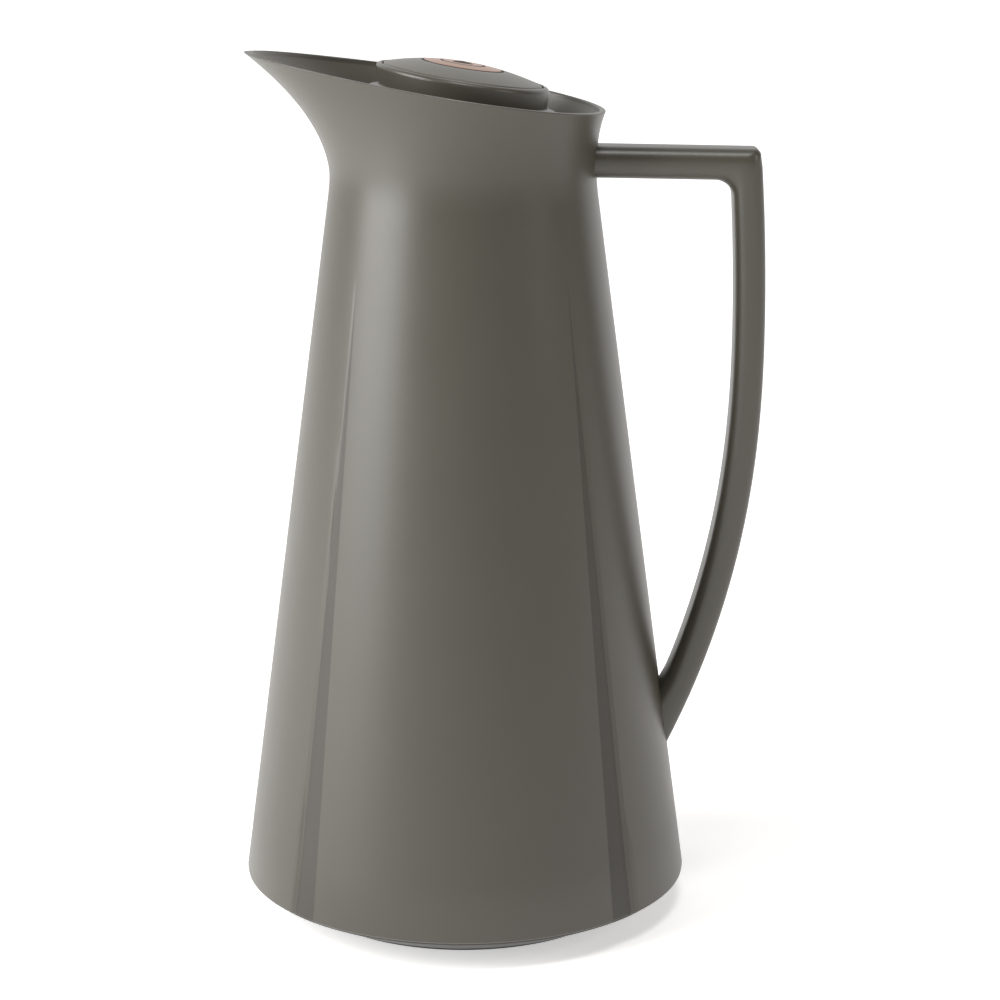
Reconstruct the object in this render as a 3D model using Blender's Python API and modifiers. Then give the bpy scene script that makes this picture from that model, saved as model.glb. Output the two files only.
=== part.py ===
"""Vacuum pouring jug: conical plastic shell with a slanted spouted mouth, D handle, double-walled
glass flask, screwed base cap, and a click stopper whose button opens a valve in the neck.

Frame: Z is the jug's axis and points up, z = 0 is the table, the spout points along -X and the
handle along +X. All sizes are in millimetres and MM turns them into Blender's metres.
"""

import math

import bmesh
import bpy
from mathutils import Matrix, Vector

MM = 0.001

# Clearances
GAP = 0.3                 # between touching pieces
RUNNING_GAP = 0.4         # beside the sliding button, and beside the base cap's collar
WASHER_GAP = 0.35         # between a seal and the bore that it wipes
SCREW_CLEARANCE = 0.3     # between a screw and its hole
FLASK_CLEARANCE = 2.35    # between the flask's widest part and the shell

# Overall form of the shell
BASE_RADIUS = 78.2        # outside, at the bottom edge
EDGE_HEIGHT = 10.5        # bottom edge above the table
EDGE_ROUND = 1.4
WAIST_RADIUS = 45.3
WAIST_HEIGHT = 257.0      # where the mouth starts to flare
WAIST_BLEND = 6.0         # half the height over which the cone eases into the waist
CONE_TAPER = (BASE_RADIUS - WAIST_RADIUS) / (WAIST_HEIGHT - EDGE_HEIGHT)
RIM_RADIUS = WAIST_RADIUS + 3.1         # mouth, away from the spout
RIM_BACK_HEIGHT = WAIST_HEIGHT + 23.3   # rim at the handle
RIM_TILT = math.radians(9.13)
SPOUT_REACH = 25.6        # tip beyond the round mouth
SPOUT_SPREAD = math.radians(36)
SPOUT_POINTEDNESS = 1.6
FLARE_SPOUT = 1.91        # exponent of the flare at the spout
FLARE_BACK = 3.0          # exponent of the flare at the handle
WALL = 2.0

# Tapering grooves in the cone
GROOVE_ANGLES = (45, 135, 225, 315)   # degrees from the spout
GROOVE_TOP = WAIST_HEIGHT - 29.0
GROOVE_WIDTH = 11.2       # at the bottom edge
GROOVE_DEPTH = 0.9        # at the bottom edge
GROOVE_RAMP = 1.6         # width of the soft flank

# Handle
HANDLE_THICKNESS = 10.5
HANDLE_WIDTH = 18.0
HANDLE_ROUND = 3.2
HANDLE_REACH = WAIST_RADIUS + 58.1    # farthest point from the axis
ARM_TOP = WAIST_HEIGHT + 11.7         # top of the arm at the waist
ARM_SLOPE = 0.018
ARM_ROOT = 6.0            # how far the arm starts inside the waist, before it is cut back
HANDLE_BELLY = ARM_TOP - 61.2         # height of the farthest point
HANDLE_LEAN_IN = 1.46     # how far the top of the grip leans back in
LEAN_HEIGHT = 46.2
HANDLE_SWEEP = 11.7       # how far the blade curves in over SWEEP_HEIGHT
SWEEP_HEIGHT = 97.35
SWEEP_POWER = 2.29
CORNER_OUTER = 2.3
CORNER_INNER = 6.3

# Fixing screws of the handle
SCREW_RADIUS = 1.4
SCREW_HEAD_RADIUS = 2.4
SCREW_HEAD = 1.8
SCREW_LENGTH_UPPER = 10.0
SCREW_LENGTH_LOWER = 8.0
SCREW_TIP_ROOM = 0.5      # hole beyond the screw's tip
SCREW_BELOW_ARM = 7.4     # upper screw, below the arm's top
BLADE_COVER = 7.9         # how far the blade stands out of the cone at the lower screw
BLADE_TAIL = 26.0         # how far the blade runs on below the lower screw

# Flask's neck, and the stopper's bore over it
GLASS = 1.6
VACUUM = 3.0
NECK_VACUUM = 1.5
NECK_INSET = 23.0         # shell, screw head, collar and glass, from the waist to the neck's bore
NECK_BORE = WAIST_RADIUS - NECK_INSET
FLASK_NECK = NECK_BORE + 2 * GLASS + NECK_VACUUM   # outside of the neck
BORE_RADIUS = NECK_BORE + 5.2
SEAT_HEIGHT = WAIST_HEIGHT - 9.0      # ledge that the stopper rests on
BORE_TOP = WAIST_HEIGHT + 1.5

# Pouring funnel
FUNNEL_DROP = 9.0         # seam below the rim
FUNNEL_WALL = 1.6
FLOOR_THICKNESS = 2.2
FLOOR_OUTER_HEIGHT = WAIST_HEIGHT + 9.0
SEAT_THICKNESS = 4.1
COLLAR_WALL = 4.0
SKIRT_DEPTH = 8.0         # below the seal, around the flask's neck

# Glass flask
SEAL_THICKNESS = 1.6
LIP_TOP = SEAT_HEIGHT - SEAT_THICKNESS - SEAL_THICKNESS - 2 * GAP
LIP_THICKNESS = 4.0
SHOULDER_END = SEAT_HEIGHT - 22.0
SHOULDER_START = SHOULDER_END - 78.0
FLASK_RADIUS = BASE_RADIUS - CONE_TAPER * (SHOULDER_START - EDGE_HEIGHT) - WALL - FLASK_CLEARANCE
FLASK_BOTTOM = 27.5
FLASK_BOTTOM_FLAT = 8.0
FLASK_BOTTOM_HEIGHT = 37.5
TIP_RADIUS = 2.2
TIP_LENGTH = 8.5
PAD_RADIUS = 4.0
PAD_HEIGHT = 78.0

# Base
FOOT_RADIUS = BASE_RADIUS - 20.4
FOOT_THICKNESS = 3.0
FOOT_EDGE = 0.5
FOOT_PROUD = 1.2          # rubber below the cap
CAP_WALL = 2.4
CAP_FLOOR = FOOT_THICKNESS + GAP      # underside of the cap, above the foot
COLLAR_TOP = EDGE_HEIGHT + 13.5
CUP_INNER = 14.0
CUP_OUTER = 40.0
CUP_WALL = 4.5

# Stopper
LID_RADIUS = BORE_RADIUS + 1.9
LID_HEIGHT = RIM_BACK_HEIGHT + RIM_RADIUS * math.tan(RIM_TILT) + 3.6   # edge bead, on the axis
LID_TILT = math.radians(8.9)
BEAD_WIDTH = 2.1
LID_WALL_DROP = 6.8
LID_TAPER = 1.1
FLANGE_RADIUS = LID_RADIUS + 2.5
DECK_HEIGHT = LID_HEIGHT - 19.1
DECK_THICKNESS = 1.8
BODY_RADIUS = BORE_RADIUS - 0.7
BODY_WALL = 3.6
PLUG_RADIUS = NECK_BORE - 1.7
PLUG_WALL = 3.2
PLUG_BOTTOM = SEAT_HEIGHT - 20.0
PLUG_FLOOR = 2.2
VALVE_OPENING = 9.0
RING_GROOVE_DEPTH = 1.6
RING_HEIGHT = 2.9
RING_SLACK = 0.2          # above and below a ring in its groove
LIP_SEAL_HEIGHT = SEAT_HEIGHT + 3.4
PLUG_SEAL_HEIGHT = PLUG_BOTTOM + 6.6
PORT_COUNT = 6
PORT_WIDTH = 11.0
PORT_BOTTOM = BORE_TOP + 2.0
PORT_TOP = DECK_HEIGHT - 3.1

# Button and valve
DOME_RISE = 4.8           # above the plane of the edge bead
DOME_EDGE_RISE = 0.6
BUTTON_WALL = 1.8
BUTTON_TRAVEL = 4.0
BADGE_RADIUS = 13.6
BADGE_THICKNESS = 0.8
STEM_RADIUS = 2.5
STEM_TOP = LID_HEIGHT + 0.9
STEM_SEAL_HEIGHT = 2.0
BOSS_RADIUS = 5.6
BOSS_BOTTOM = LID_HEIGHT - 7.8
VALVE_RADIUS = 12.0
VALVE_THICKNESS = 3.0
VALVE_SEAL = 1.9
HUB_RADIUS = 4.5
VALVE_SCREW_RADIUS = 1.2
VALVE_SCREW_HEAD = 1.8
VALVE_SCREW_REACH = 7.0   # into the stem
LATCH_INNER = 6.8
LATCH_OUTER = 10.4
LATCH_HEIGHT = 4.6
LATCH_TEETH = 8
LATCH_TOOTH_DEPTH = 1.4
SPRING_WIRE = 0.35        # half the wire's diameter
SPRING_RADIUS = 4.4
SPRING_TURNS = 5

# Roundness
AZIMUTHS = 52             # round the lofted shell and funnel
AZIMUTH_CROWDING = 0.3    # how much closer together they are at the spout
FLARE_LEVELS = (0.86, 0.72, 0.56, 0.38, 0.2, 0.0)   # from the rim, 1, down to the waist
HALVINGS = 24             # when a ring is moved onto the rim's plane
VISIBLE_STEPS = 40        # round the lid, the button and the base cap
TURN_STEPS = 32
GLASS_STEPS = 24
SMALL_STEPS = 16


# ---------------------------------------------------------------- scene, materials, small tools
def clear_scene():
    for obj in list(bpy.data.objects):
        bpy.data.objects.remove(obj, do_unlink=True)


def collection(name):
    group = bpy.data.collections.new(name)
    bpy.context.scene.collection.children.link(group)
    return group


def channel(value):
    """One sRGB channel, 0 to 255, as the linear value that a shader takes."""
    value /= 255
    return value / 12.92 if value <= 0.04045 else ((value + 0.055) / 1.055) ** 2.4


def finish(name, colour, roughness, metallic=0.0):
    material = bpy.data.materials.new(name)
    material.use_nodes = True
    shader = material.node_tree.nodes["Principled BSDF"]
    rgb = [channel(int(colour[i:i + 2], 16)) for i in (0, 2, 4)]
    shader.inputs["Base Color"].default_value = (*rgb, 1)
    shader.inputs["Roughness"].default_value = roughness
    shader.inputs["Metallic"].default_value = metallic
    material.diffuse_color = (*rgb, 1)
    return material


def add(name, mesh, material):
    """Puts a mesh in the model as a named part with its own material."""
    mesh.materials.clear()
    mesh.materials.append(material)
    mesh.shade_smooth()
    mesh.set_sharp_from_angle(angle=math.radians(35))
    obj = bpy.data.objects.new(name, mesh)
    PARTS.objects.link(obj)
    return obj


def add_cutter(name, mesh):
    obj = bpy.data.objects.new(name, mesh)
    CUTTERS.objects.link(obj)
    obj.hide_render = True
    obj.display_type = "WIRE"
    return obj


def combine(target, other, operation="DIFFERENCE"):
    modifier = target.modifiers.new(other.name, "BOOLEAN")
    modifier.operation = operation
    modifier.object = other
    modifier.solver = "EXACT"


def from_bmesh(name, mesh):
    bmesh.ops.recalc_face_normals(mesh, faces=mesh.faces)
    result = bpy.data.meshes.new(name)
    mesh.to_mesh(result)
    mesh.free()
    return result


def skin(name, rings, closed):
    """A skin over rings of equal point counts. A closed one joins its last ring to its first."""
    mesh = bmesh.new()
    rows = [[mesh.verts.new(point * MM) for point in ring] for ring in rings]
    pairs = list(zip(rows, rows[1:]))
    if closed:
        pairs.append((rows[-1], rows[0]))
    else:
        mesh.faces.new(rows[0])
        mesh.faces.new(rows[-1])
    for upper, lower in pairs:
        for i, corner in enumerate(upper):
            mesh.faces.new((corner, lower[i], lower[i - 1], upper[i - 1]))
    return from_bmesh(name, mesh)


def turned(name, profile, material, steps=TURN_STEPS):
    """A body of revolution about Z. Its (radius, height) profile runs down the outer side first;
    it closes on itself, unless both ends lie on the axis."""
    mesh = bpy.data.meshes.new(name)
    points = [(radius * MM, 0, height * MM) for radius, height in profile]
    edges = [(i, i + 1) for i in range(len(points) - 1)]
    if profile[0][0] > 0:
        edges.append((len(points) - 1, 0))
    mesh.from_pydata(points, edges, [])
    obj = add(name, mesh, material)
    screw = obj.modifiers.new("Turn", "SCREW")
    screw.steps = steps
    screw.render_steps = steps
    screw.use_merge_vertices = True
    screw.merge_threshold = 0.00001
    return obj


def slanted(obj, above):
    """Shears what lies above a height, so that it runs parallel to the mouth."""
    graph = bpy.context.evaluated_depsgraph_get()
    mesh = bpy.data.meshes.new_from_object(obj.evaluated_get(graph))
    obj.modifiers.clear()
    obj.data = mesh
    for vertex in mesh.vertices:
        if vertex.co.z > above * MM:
            vertex.co.z -= vertex.co.x * math.tan(LID_TILT)
    return obj


def rod(name, radius, start, end, steps=SMALL_STEPS):
    """The mesh of a round bar between two points."""
    start, end = Vector(start), Vector(end)
    length = (end - start).length
    turn = (end - start).to_track_quat("Z", "Y").to_matrix().to_4x4()
    mesh = bmesh.new()
    bmesh.ops.create_cone(mesh, cap_ends=True, segments=steps, depth=length * MM,
                          radius1=radius * MM, radius2=radius * MM,
                          matrix=Matrix.Translation((start + end) / 2 * MM) @ turn)
    return from_bmesh(name, mesh)


def block(name, size, matrix):
    """The mesh of a box of this size, placed by a matrix whose offset is in millimetres."""
    mesh = bmesh.new()
    bmesh.ops.create_cube(mesh, size=1)
    bmesh.ops.transform(mesh, matrix=Matrix.Diagonal((*size, 1)), verts=mesh.verts)
    bmesh.ops.transform(mesh, matrix=matrix, verts=mesh.verts)
    bmesh.ops.scale(mesh, vec=(MM, MM, MM), verts=mesh.verts)
    return from_bmesh(name, mesh)


# ---------------------------------------------------------------- the shell's surface
def azimuths():
    """Angles from the spout, closer together there than at the handle."""
    turns = [math.tau * i / AZIMUTHS for i in range(AZIMUTHS)]
    return [turn - AZIMUTH_CROWDING * math.sin(turn) for turn in turns]


def rim_radius(theta):
    away = min(theta % math.tau, -theta % math.tau)
    lobe = math.exp(-((away / SPOUT_SPREAD) ** SPOUT_POINTEDNESS))
    return RIM_RADIUS + SPOUT_REACH * lobe


def rim_height(theta):
    return RIM_BACK_HEIGHT + (RIM_RADIUS + rim_radius(theta) * math.cos(theta)) * math.tan(RIM_TILT)


def cone_radius(height):
    """The straight cone, eased into the waist by a parabola."""
    start = WAIST_HEIGHT - WAIST_BLEND
    eased = min(max(height - start, 0), 2 * WAIST_BLEND)
    straight = min(height, start + 2 * WAIST_BLEND)
    return BASE_RADIUS - CONE_TAPER * (straight - EDGE_HEIGHT - eased ** 2 / (4 * WAIST_BLEND))


def shell_radius(theta, height):
    radius = cone_radius(height)
    if height <= WAIST_HEIGHT:
        return radius
    level = (height - WAIST_HEIGHT) / (rim_height(theta) - WAIST_HEIGHT)
    power = (FLARE_BACK + FLARE_SPOUT) / 2 - (FLARE_BACK - FLARE_SPOUT) / 2 * math.cos(theta)
    top = cone_radius(WAIST_HEIGHT + 2 * WAIST_BLEND)
    return radius + (rim_radius(theta) - top) * level ** power


def shell_point(theta, height, inward=0.0):
    """A point on the shell's outer surface, or this far inside it along the surface's normal."""
    def at(angle, level):
        radius = shell_radius(angle, level)
        return Vector((-radius * math.cos(angle), -radius * math.sin(angle), level))

    if not inward:
        return at(theta, height)
    step = 0.01
    around = at(theta + step, height) - at(theta - step, height)
    upward = at(theta, height + step) - at(theta, height - step)
    return at(theta, height) - around.cross(upward).normalized() * inward


def flare_ring(level, inward=0.0):
    """A ring round the mouth: level 0 is the waist and 1 is the rim."""
    return [shell_point(theta, WAIST_HEIGHT + (rim_height(theta) - WAIST_HEIGHT) * level, inward)
            for theta in azimuths()]


def height_ring(height, inward=0.0):
    return [shell_point(theta, height, inward) for theta in azimuths()]


def flat_ring(radius, height):
    return [Vector((-radius * math.cos(theta), -radius * math.sin(theta), height))
            for theta in azimuths()]


def rim_ring(inward):
    """The ring where the surface this far inside the shell's outside meets the rim's plane."""
    ring = []
    for theta in azimuths():
        low = WAIST_HEIGHT
        high = 2 * rim_height(theta) - WAIST_HEIGHT
        for _ in range(HALVINGS):
            middle = (low + high) / 2
            point = shell_point(theta, middle, inward)
            above = point.z > RIM_BACK_HEIGHT + (RIM_RADIUS - point.x) * math.tan(RIM_TILT)
            low, high = (low, middle) if above else (middle, high)
        ring.append(shell_point(theta, low, inward))
    return ring


def groove_cutter(angle):
    """A wedge that widens and deepens from the groove's top to below the shell's edge."""
    outward = Vector((-math.cos(angle), -math.sin(angle), 0))
    across = Vector((-math.sin(angle), math.cos(angle), 0))
    towards_front = 1 if math.sin(2 * angle) > 0 else -1
    rings = []
    for height in (GROOVE_TOP, EDGE_HEIGHT - 2):
        share = (GROOVE_TOP - height) / (GROOVE_TOP - EDGE_HEIGHT) + 0.002
        half = GROOVE_WIDTH / 2 * share
        centre = outward * (cone_radius(height) * math.cos(half / cone_radius(height)))
        floor = centre - outward * GROOVE_DEPTH * share + Vector((0, 0, height))
        ramp = GROOVE_RAMP * share
        side = across * towards_front
        rings.append([
            floor - side * half,
            floor + side * (half - ramp),
            floor + side * half + outward * GROOVE_DEPTH * share,
            floor + side * (half + 3 * ramp) + outward * (4 * GROOVE_DEPTH * share + 1),
            floor - side * half + outward * (4 * GROOVE_DEPTH * share + 1),
        ])
    name = f"groove_cutter_{round(math.degrees(angle))}"
    return add_cutter(name, skin(name, rings, closed=False))


def make_outer_shell(material):
    """Injection-moulded ABS shell: one wall from the bottom edge to the rim and the spout."""
    start = WAIST_HEIGHT - WAIST_BLEND
    middle = (start + EDGE_HEIGHT) / 2
    outer = [rim_ring(0)] + [flare_ring(level) for level in FLARE_LEVELS]
    outer += [height_ring(height) for height in (start, middle, EDGE_HEIGHT + EDGE_ROUND)]
    corner = cone_radius(EDGE_HEIGHT)
    outer.append(flat_ring(corner - 0.3 * EDGE_ROUND, EDGE_HEIGHT + 0.3 * EDGE_ROUND))
    outer.append(flat_ring(corner - EDGE_ROUND, EDGE_HEIGHT))
    inner = [flat_ring(corner - WALL, EDGE_HEIGHT)]
    inner += [height_ring(height, WALL) for height in (EDGE_HEIGHT + EDGE_ROUND, middle, start)]
    inner += [flare_ring(level, WALL) for level in FLARE_LEVELS[::-1]] + [rim_ring(WALL)]
    shell = add("outer_shell", skin("outer_shell", outer + inner, closed=True), material)
    for degrees in GROOVE_ANGLES:
        combine(shell, groove_cutter(math.radians(degrees)))
    return shell


def make_mouth_funnel(material):
    """Moulded liner of the mouth: its floor leads to the stopper's bore, whose ledge presses the
    seal on the flask's lip, and whose skirt centres the flask's neck."""
    outside = WALL + GAP
    inside = outside + FUNNEL_WALL
    wall_outer = shell_radius(math.pi, FLOOR_OUTER_HEIGHT) - outside
    collar = BORE_RADIUS + COLLAR_WALL
    slope = (FLOOR_OUTER_HEIGHT - BORE_TOP) / (wall_outer - collar)
    floor_rise = FLOOR_THICKNESS * math.sqrt(1 + slope ** 2)
    floor_in = wall_outer - FUNNEL_WALL
    seal_top = SEAT_HEIGHT - SEAT_THICKNESS
    skirt_inner = FLASK_NECK + GAP + RUNNING_GAP

    def seam_level(theta):
        return 1 - FUNNEL_DROP / (rim_height(theta) - WAIST_HEIGHT)

    def wall_ring(share, inward):
        """A ring on the funnel's wall: share 0 is the floor's edge and 1 is the seam."""
        ring = []
        for theta in azimuths():
            top = WAIST_HEIGHT + (rim_height(theta) - WAIST_HEIGHT) * seam_level(theta)
            height = FLOOR_OUTER_HEIGHT + floor_rise + (top - FLOOR_OUTER_HEIGHT - floor_rise) * share
            ring.append(shell_point(theta, height, inward))
        return ring

    shares = (1.0, 0.67, 0.33, 0.0)
    rings = [wall_ring(share, outside) for share in shares]
    rings.append(flat_ring(wall_outer, FLOOR_OUTER_HEIGHT))
    rings.append(flat_ring(collar, BORE_TOP))
    rings.append(flat_ring(collar, seal_top - SKIRT_DEPTH))
    rings.append(flat_ring(skirt_inner, seal_top - SKIRT_DEPTH))
    rings.append(flat_ring(skirt_inner, seal_top))
    rings.append(flat_ring(NECK_BORE, seal_top))
    rings.append(flat_ring(NECK_BORE, SEAT_HEIGHT))
    rings.append(flat_ring(BORE_RADIUS, SEAT_HEIGHT))
    rings.append(flat_ring(BORE_RADIUS, BORE_TOP))
    rings.append(flat_ring(floor_in, BORE_TOP + slope * (floor_in - BORE_RADIUS)))
    rings += [wall_ring(share, inside) for share in shares[::-1][1:]]
    return add("mouth_funnel", skin("mouth_funnel", rings, closed=True), material)


# ---------------------------------------------------------------- flask, seal and base
def flask_side(inward):
    """The flask's outline from the neck down to the middle of its bottom, this far inside."""
    spread = FLASK_RADIUS - FLASK_BOTTOM_FLAT
    neck_inward = inward - (VACUUM - NECK_VACUUM) * (inward > GLASS)
    points = []
    steps = 5
    for i in range(steps + 1):
        share = i / steps
        ease = 0.5 - 0.5 * math.cos(math.pi * share)
        radius = FLASK_NECK - neck_inward + (FLASK_RADIUS - inward - FLASK_NECK + neck_inward) * ease
        points.append((radius, SHOULDER_END + (SHOULDER_START - SHOULDER_END) * share))
    for i in range(steps + 1):
        turn = math.pi / 2 * (1 - i / steps)
        radius = FLASK_BOTTOM_FLAT + (spread - inward) * math.sin(turn)
        height = FLASK_BOTTOM + FLASK_BOTTOM_HEIGHT - (FLASK_BOTTOM_HEIGHT - inward) * math.cos(turn)
        points.append((radius, height))
    return points


def flask_bottom_height(radius):
    """Height of the flask's underside at a radius."""
    share = (radius - FLASK_BOTTOM_FLAT) / (FLASK_RADIUS - FLASK_BOTTOM_FLAT)
    return FLASK_BOTTOM + FLASK_BOTTOM_HEIGHT * (1 - math.sqrt(1 - share ** 2))


def make_flask(glass, silvered):
    """Two blown glass walls with the vacuum between them. The inner wall's lip covers the gap,
    and the outer wall ends in the tip where the air was drawn out."""
    deep = GLASS + VACUUM
    lip_bottom = LIP_TOP - LIP_THICKNESS
    inner = [(FLASK_NECK - 1, LIP_TOP), (FLASK_NECK, LIP_TOP - 1), (FLASK_NECK, lip_bottom)]
    inner += [(NECK_BORE + GLASS, lip_bottom)]
    inner += flask_side(deep)
    inner += [(0, FLASK_BOTTOM + deep), (0, FLASK_BOTTOM + deep + GLASS)]
    inner += flask_side(deep + GLASS)[::-1]
    inner += [(NECK_BORE, LIP_TOP - 1), (NECK_BORE + 1, LIP_TOP)]
    turned("flask_inner", as_ring(inner), glass, steps=GLASS_STEPS)

    outer = [(FLASK_NECK, lip_bottom - GAP)] + flask_side(0)
    outer += [(TIP_RADIUS, FLASK_BOTTOM), (TIP_RADIUS, FLASK_BOTTOM - TIP_LENGTH)]
    outer += [(0, FLASK_BOTTOM - TIP_LENGTH - 1), (0, FLASK_BOTTOM + GLASS)]
    outer += flask_side(GLASS)[::-1] + [(FLASK_NECK - GLASS, lip_bottom - GAP)]
    turned("flask_outer", as_ring(outer), silvered, steps=GLASS_STEPS)


def as_ring(profile):
    """The same closed outline, started after its stretch on the axis, so that it can be turned."""
    on_axis = [i for i, (radius, _) in enumerate(profile) if radius == 0]
    return profile[on_axis[1]:] + profile[:on_axis[0] + 1]


def make_spacer_pads(material):
    """Three pads that keep the glass walls apart."""
    middle = FLASK_RADIUS - GLASS - VACUUM / 2
    half = VACUUM / 2 - 3 * GAP
    for number in range(3):
        turn = math.tau * number / 3 + math.pi / 6
        outward = Vector((math.cos(turn), math.sin(turn), 0))
        centre = outward * middle + Vector((0, 0, PAD_HEIGHT))
        name = f"spacer_pad_{number + 1}"
        add(name, rod(name, PAD_RADIUS, centre - outward * half, centre + outward * half), material)


def make_neck_seal(material):
    bottom = LIP_TOP + GAP
    top = bottom + SEAL_THICKNESS
    inner = NECK_BORE + 0.6
    turned("neck_seal", [(FLASK_NECK, top), (FLASK_NECK, bottom), (inner, bottom), (inner, top)],
           material)


def make_flask_cup(material):
    """Rubber cup that carries the flask and takes up its length."""
    base = CAP_FLOOR + CAP_WALL + GAP
    count = 4
    seat = []
    for i in range(count + 1):
        radius = CUP_INNER + (CUP_OUTER - CUP_INNER) * i / count
        seat.append((radius, flask_bottom_height(radius) - 2 * GAP))
    under = [(radius, height - CUP_WALL) for radius, height in seat[-2::-1]]
    outline = [seat[-1], (CUP_OUTER + 2, seat[-1][1] - 2), (CUP_OUTER + 2, base)]
    outline += [(CUP_OUTER + 2 - CUP_WALL, base), (CUP_OUTER + 2 - CUP_WALL, under[0][1] + 1)]
    outline += under + seat[:-1]
    turned("flask_cup", outline, material)


def make_base(cap_material, rubber):
    """Screw-in cap that closes the shell and carries the cup, and its rubber foot pad."""
    inner_wall = cone_radius(COLLAR_TOP) - WALL * 1.01
    collar = inner_wall - RUNNING_GAP
    brim = cone_radius(EDGE_HEIGHT) - EDGE_ROUND
    pocket = FOOT_RADIUS + GAP
    turned("base_cap", [
        (0, CAP_FLOOR + CAP_WALL), (pocket + 1.5, CAP_FLOOR + CAP_WALL),
        (collar - CAP_WALL, EDGE_HEIGHT - 0.5), (collar - CAP_WALL, COLLAR_TOP),
        (collar, COLLAR_TOP), (collar, EDGE_HEIGHT - GAP), (brim - 0.3, EDGE_HEIGHT - GAP),
        (brim, EDGE_HEIGHT - 1), (pocket + 9.5, FOOT_PROUD + 4.0), (pocket + 1.4, FOOT_PROUD + 0.3),
        (pocket + 0.9, FOOT_PROUD), (pocket, FOOT_PROUD), (pocket, CAP_FLOOR), (0, CAP_FLOOR),
    ], cap_material, steps=VISIBLE_STEPS)
    turned("foot_pad", [
        (0, FOOT_THICKNESS), (FOOT_RADIUS, FOOT_THICKNESS), (FOOT_RADIUS, FOOT_EDGE),
        (FOOT_RADIUS - FOOT_EDGE, 0), (0, 0),
    ], rubber, steps=VISIBLE_STEPS)


# ---------------------------------------------------------------- handle
def grip_outer(height):
    """Distance of the grip's outer face from the axis."""
    if height > HANDLE_BELLY:
        return HANDLE_REACH - HANDLE_LEAN_IN * ((height - HANDLE_BELLY) / LEAN_HEIGHT) ** 2
    return HANDLE_REACH - HANDLE_SWEEP * ((HANDLE_BELLY - height) / SWEEP_HEIGHT) ** SWEEP_POWER


def blade_foot():
    """Height of the lower screw: there the blade's outer face is BLADE_COVER outside the cone."""
    height = HANDLE_BELLY
    while grip_outer(height) - cone_radius(height) > BLADE_COVER:
        height -= 0.5
    return height


def handle_stations():
    """Pairs of (inner, outer) points along the handle, from inside the waist, over the corner and
    down the blade to where it runs into the cone."""
    pairs = []
    corner_x = grip_outer(ARM_TOP)
    arm_top = ARM_TOP - ARM_SLOPE * (corner_x - WAIST_RADIUS)
    inner_x = corner_x - HANDLE_THICKNESS
    arm_bottom = arm_top - HANDLE_THICKNESS
    arm_end = inner_x - CORNER_INNER
    for share in (0.0, 0.5, 1.0):
        x = WAIST_RADIUS - ARM_ROOT + (arm_end - WAIST_RADIUS + ARM_ROOT) * share
        drop = ARM_SLOPE * (arm_end - x)
        outer_x = x + (CORNER_INNER - CORNER_OUTER + HANDLE_THICKNESS) * share
        outer_drop = ARM_SLOPE * (corner_x - CORNER_OUTER - outer_x)
        pairs.append((Vector((x, 0, arm_bottom + drop)), Vector((outer_x, 0, arm_top + outer_drop))))
    steps = 5
    for i in range(1, steps + 1):
        turn = math.pi / 2 * (1 - i / steps)
        reach = Vector((math.cos(turn), 0, math.sin(turn)))
        inner_centre = Vector((inner_x - CORNER_INNER, 0, arm_bottom - CORNER_INNER))
        outer_centre = Vector((corner_x - CORNER_OUTER, 0, arm_top - CORNER_OUTER))
        pairs.append((inner_centre + reach * CORNER_INNER, outer_centre + reach * CORNER_OUTER))
    count = 12
    top = arm_bottom - CORNER_INNER - 4
    bottom = max(blade_foot() - BLADE_TAIL, EDGE_HEIGHT + EDGE_ROUND)
    for i in range(count + 1):
        height = top + (bottom - top) * i / count
        lean = grip_outer(height + 0.5) - grip_outer(height - 0.5)
        normal = Vector((-1, 0, lean)).normalized()
        outer = Vector((grip_outer(height), 0, height))
        pairs.append((outer + normal * HANDLE_THICKNESS, outer))
    return pairs


def handle_ring(inner, outer):
    """A rounded rectangle across the handle, from its inner face to its outer face."""
    along = outer - inner
    stretch = along.length / HANDLE_THICKNESS
    along.normalize()
    centre = (inner + outer) / 2
    ring = []
    steps = 3
    for quarter in range(4):
        for i in range(steps + 1):
            turn = math.pi / 2 * (quarter + i / steps)
            side = (1, -1, -1, 1)[quarter]
            end = (1, 1, -1, -1)[quarter]
            depth = end * (HANDLE_THICKNESS / 2 - HANDLE_ROUND) + HANDLE_ROUND * math.sin(turn)
            width = side * (HANDLE_WIDTH / 2 - HANDLE_ROUND) + HANDLE_ROUND * math.cos(turn)
            ring.append(centre + along * depth * stretch + Vector((0, width, 0)))
    return ring


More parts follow.
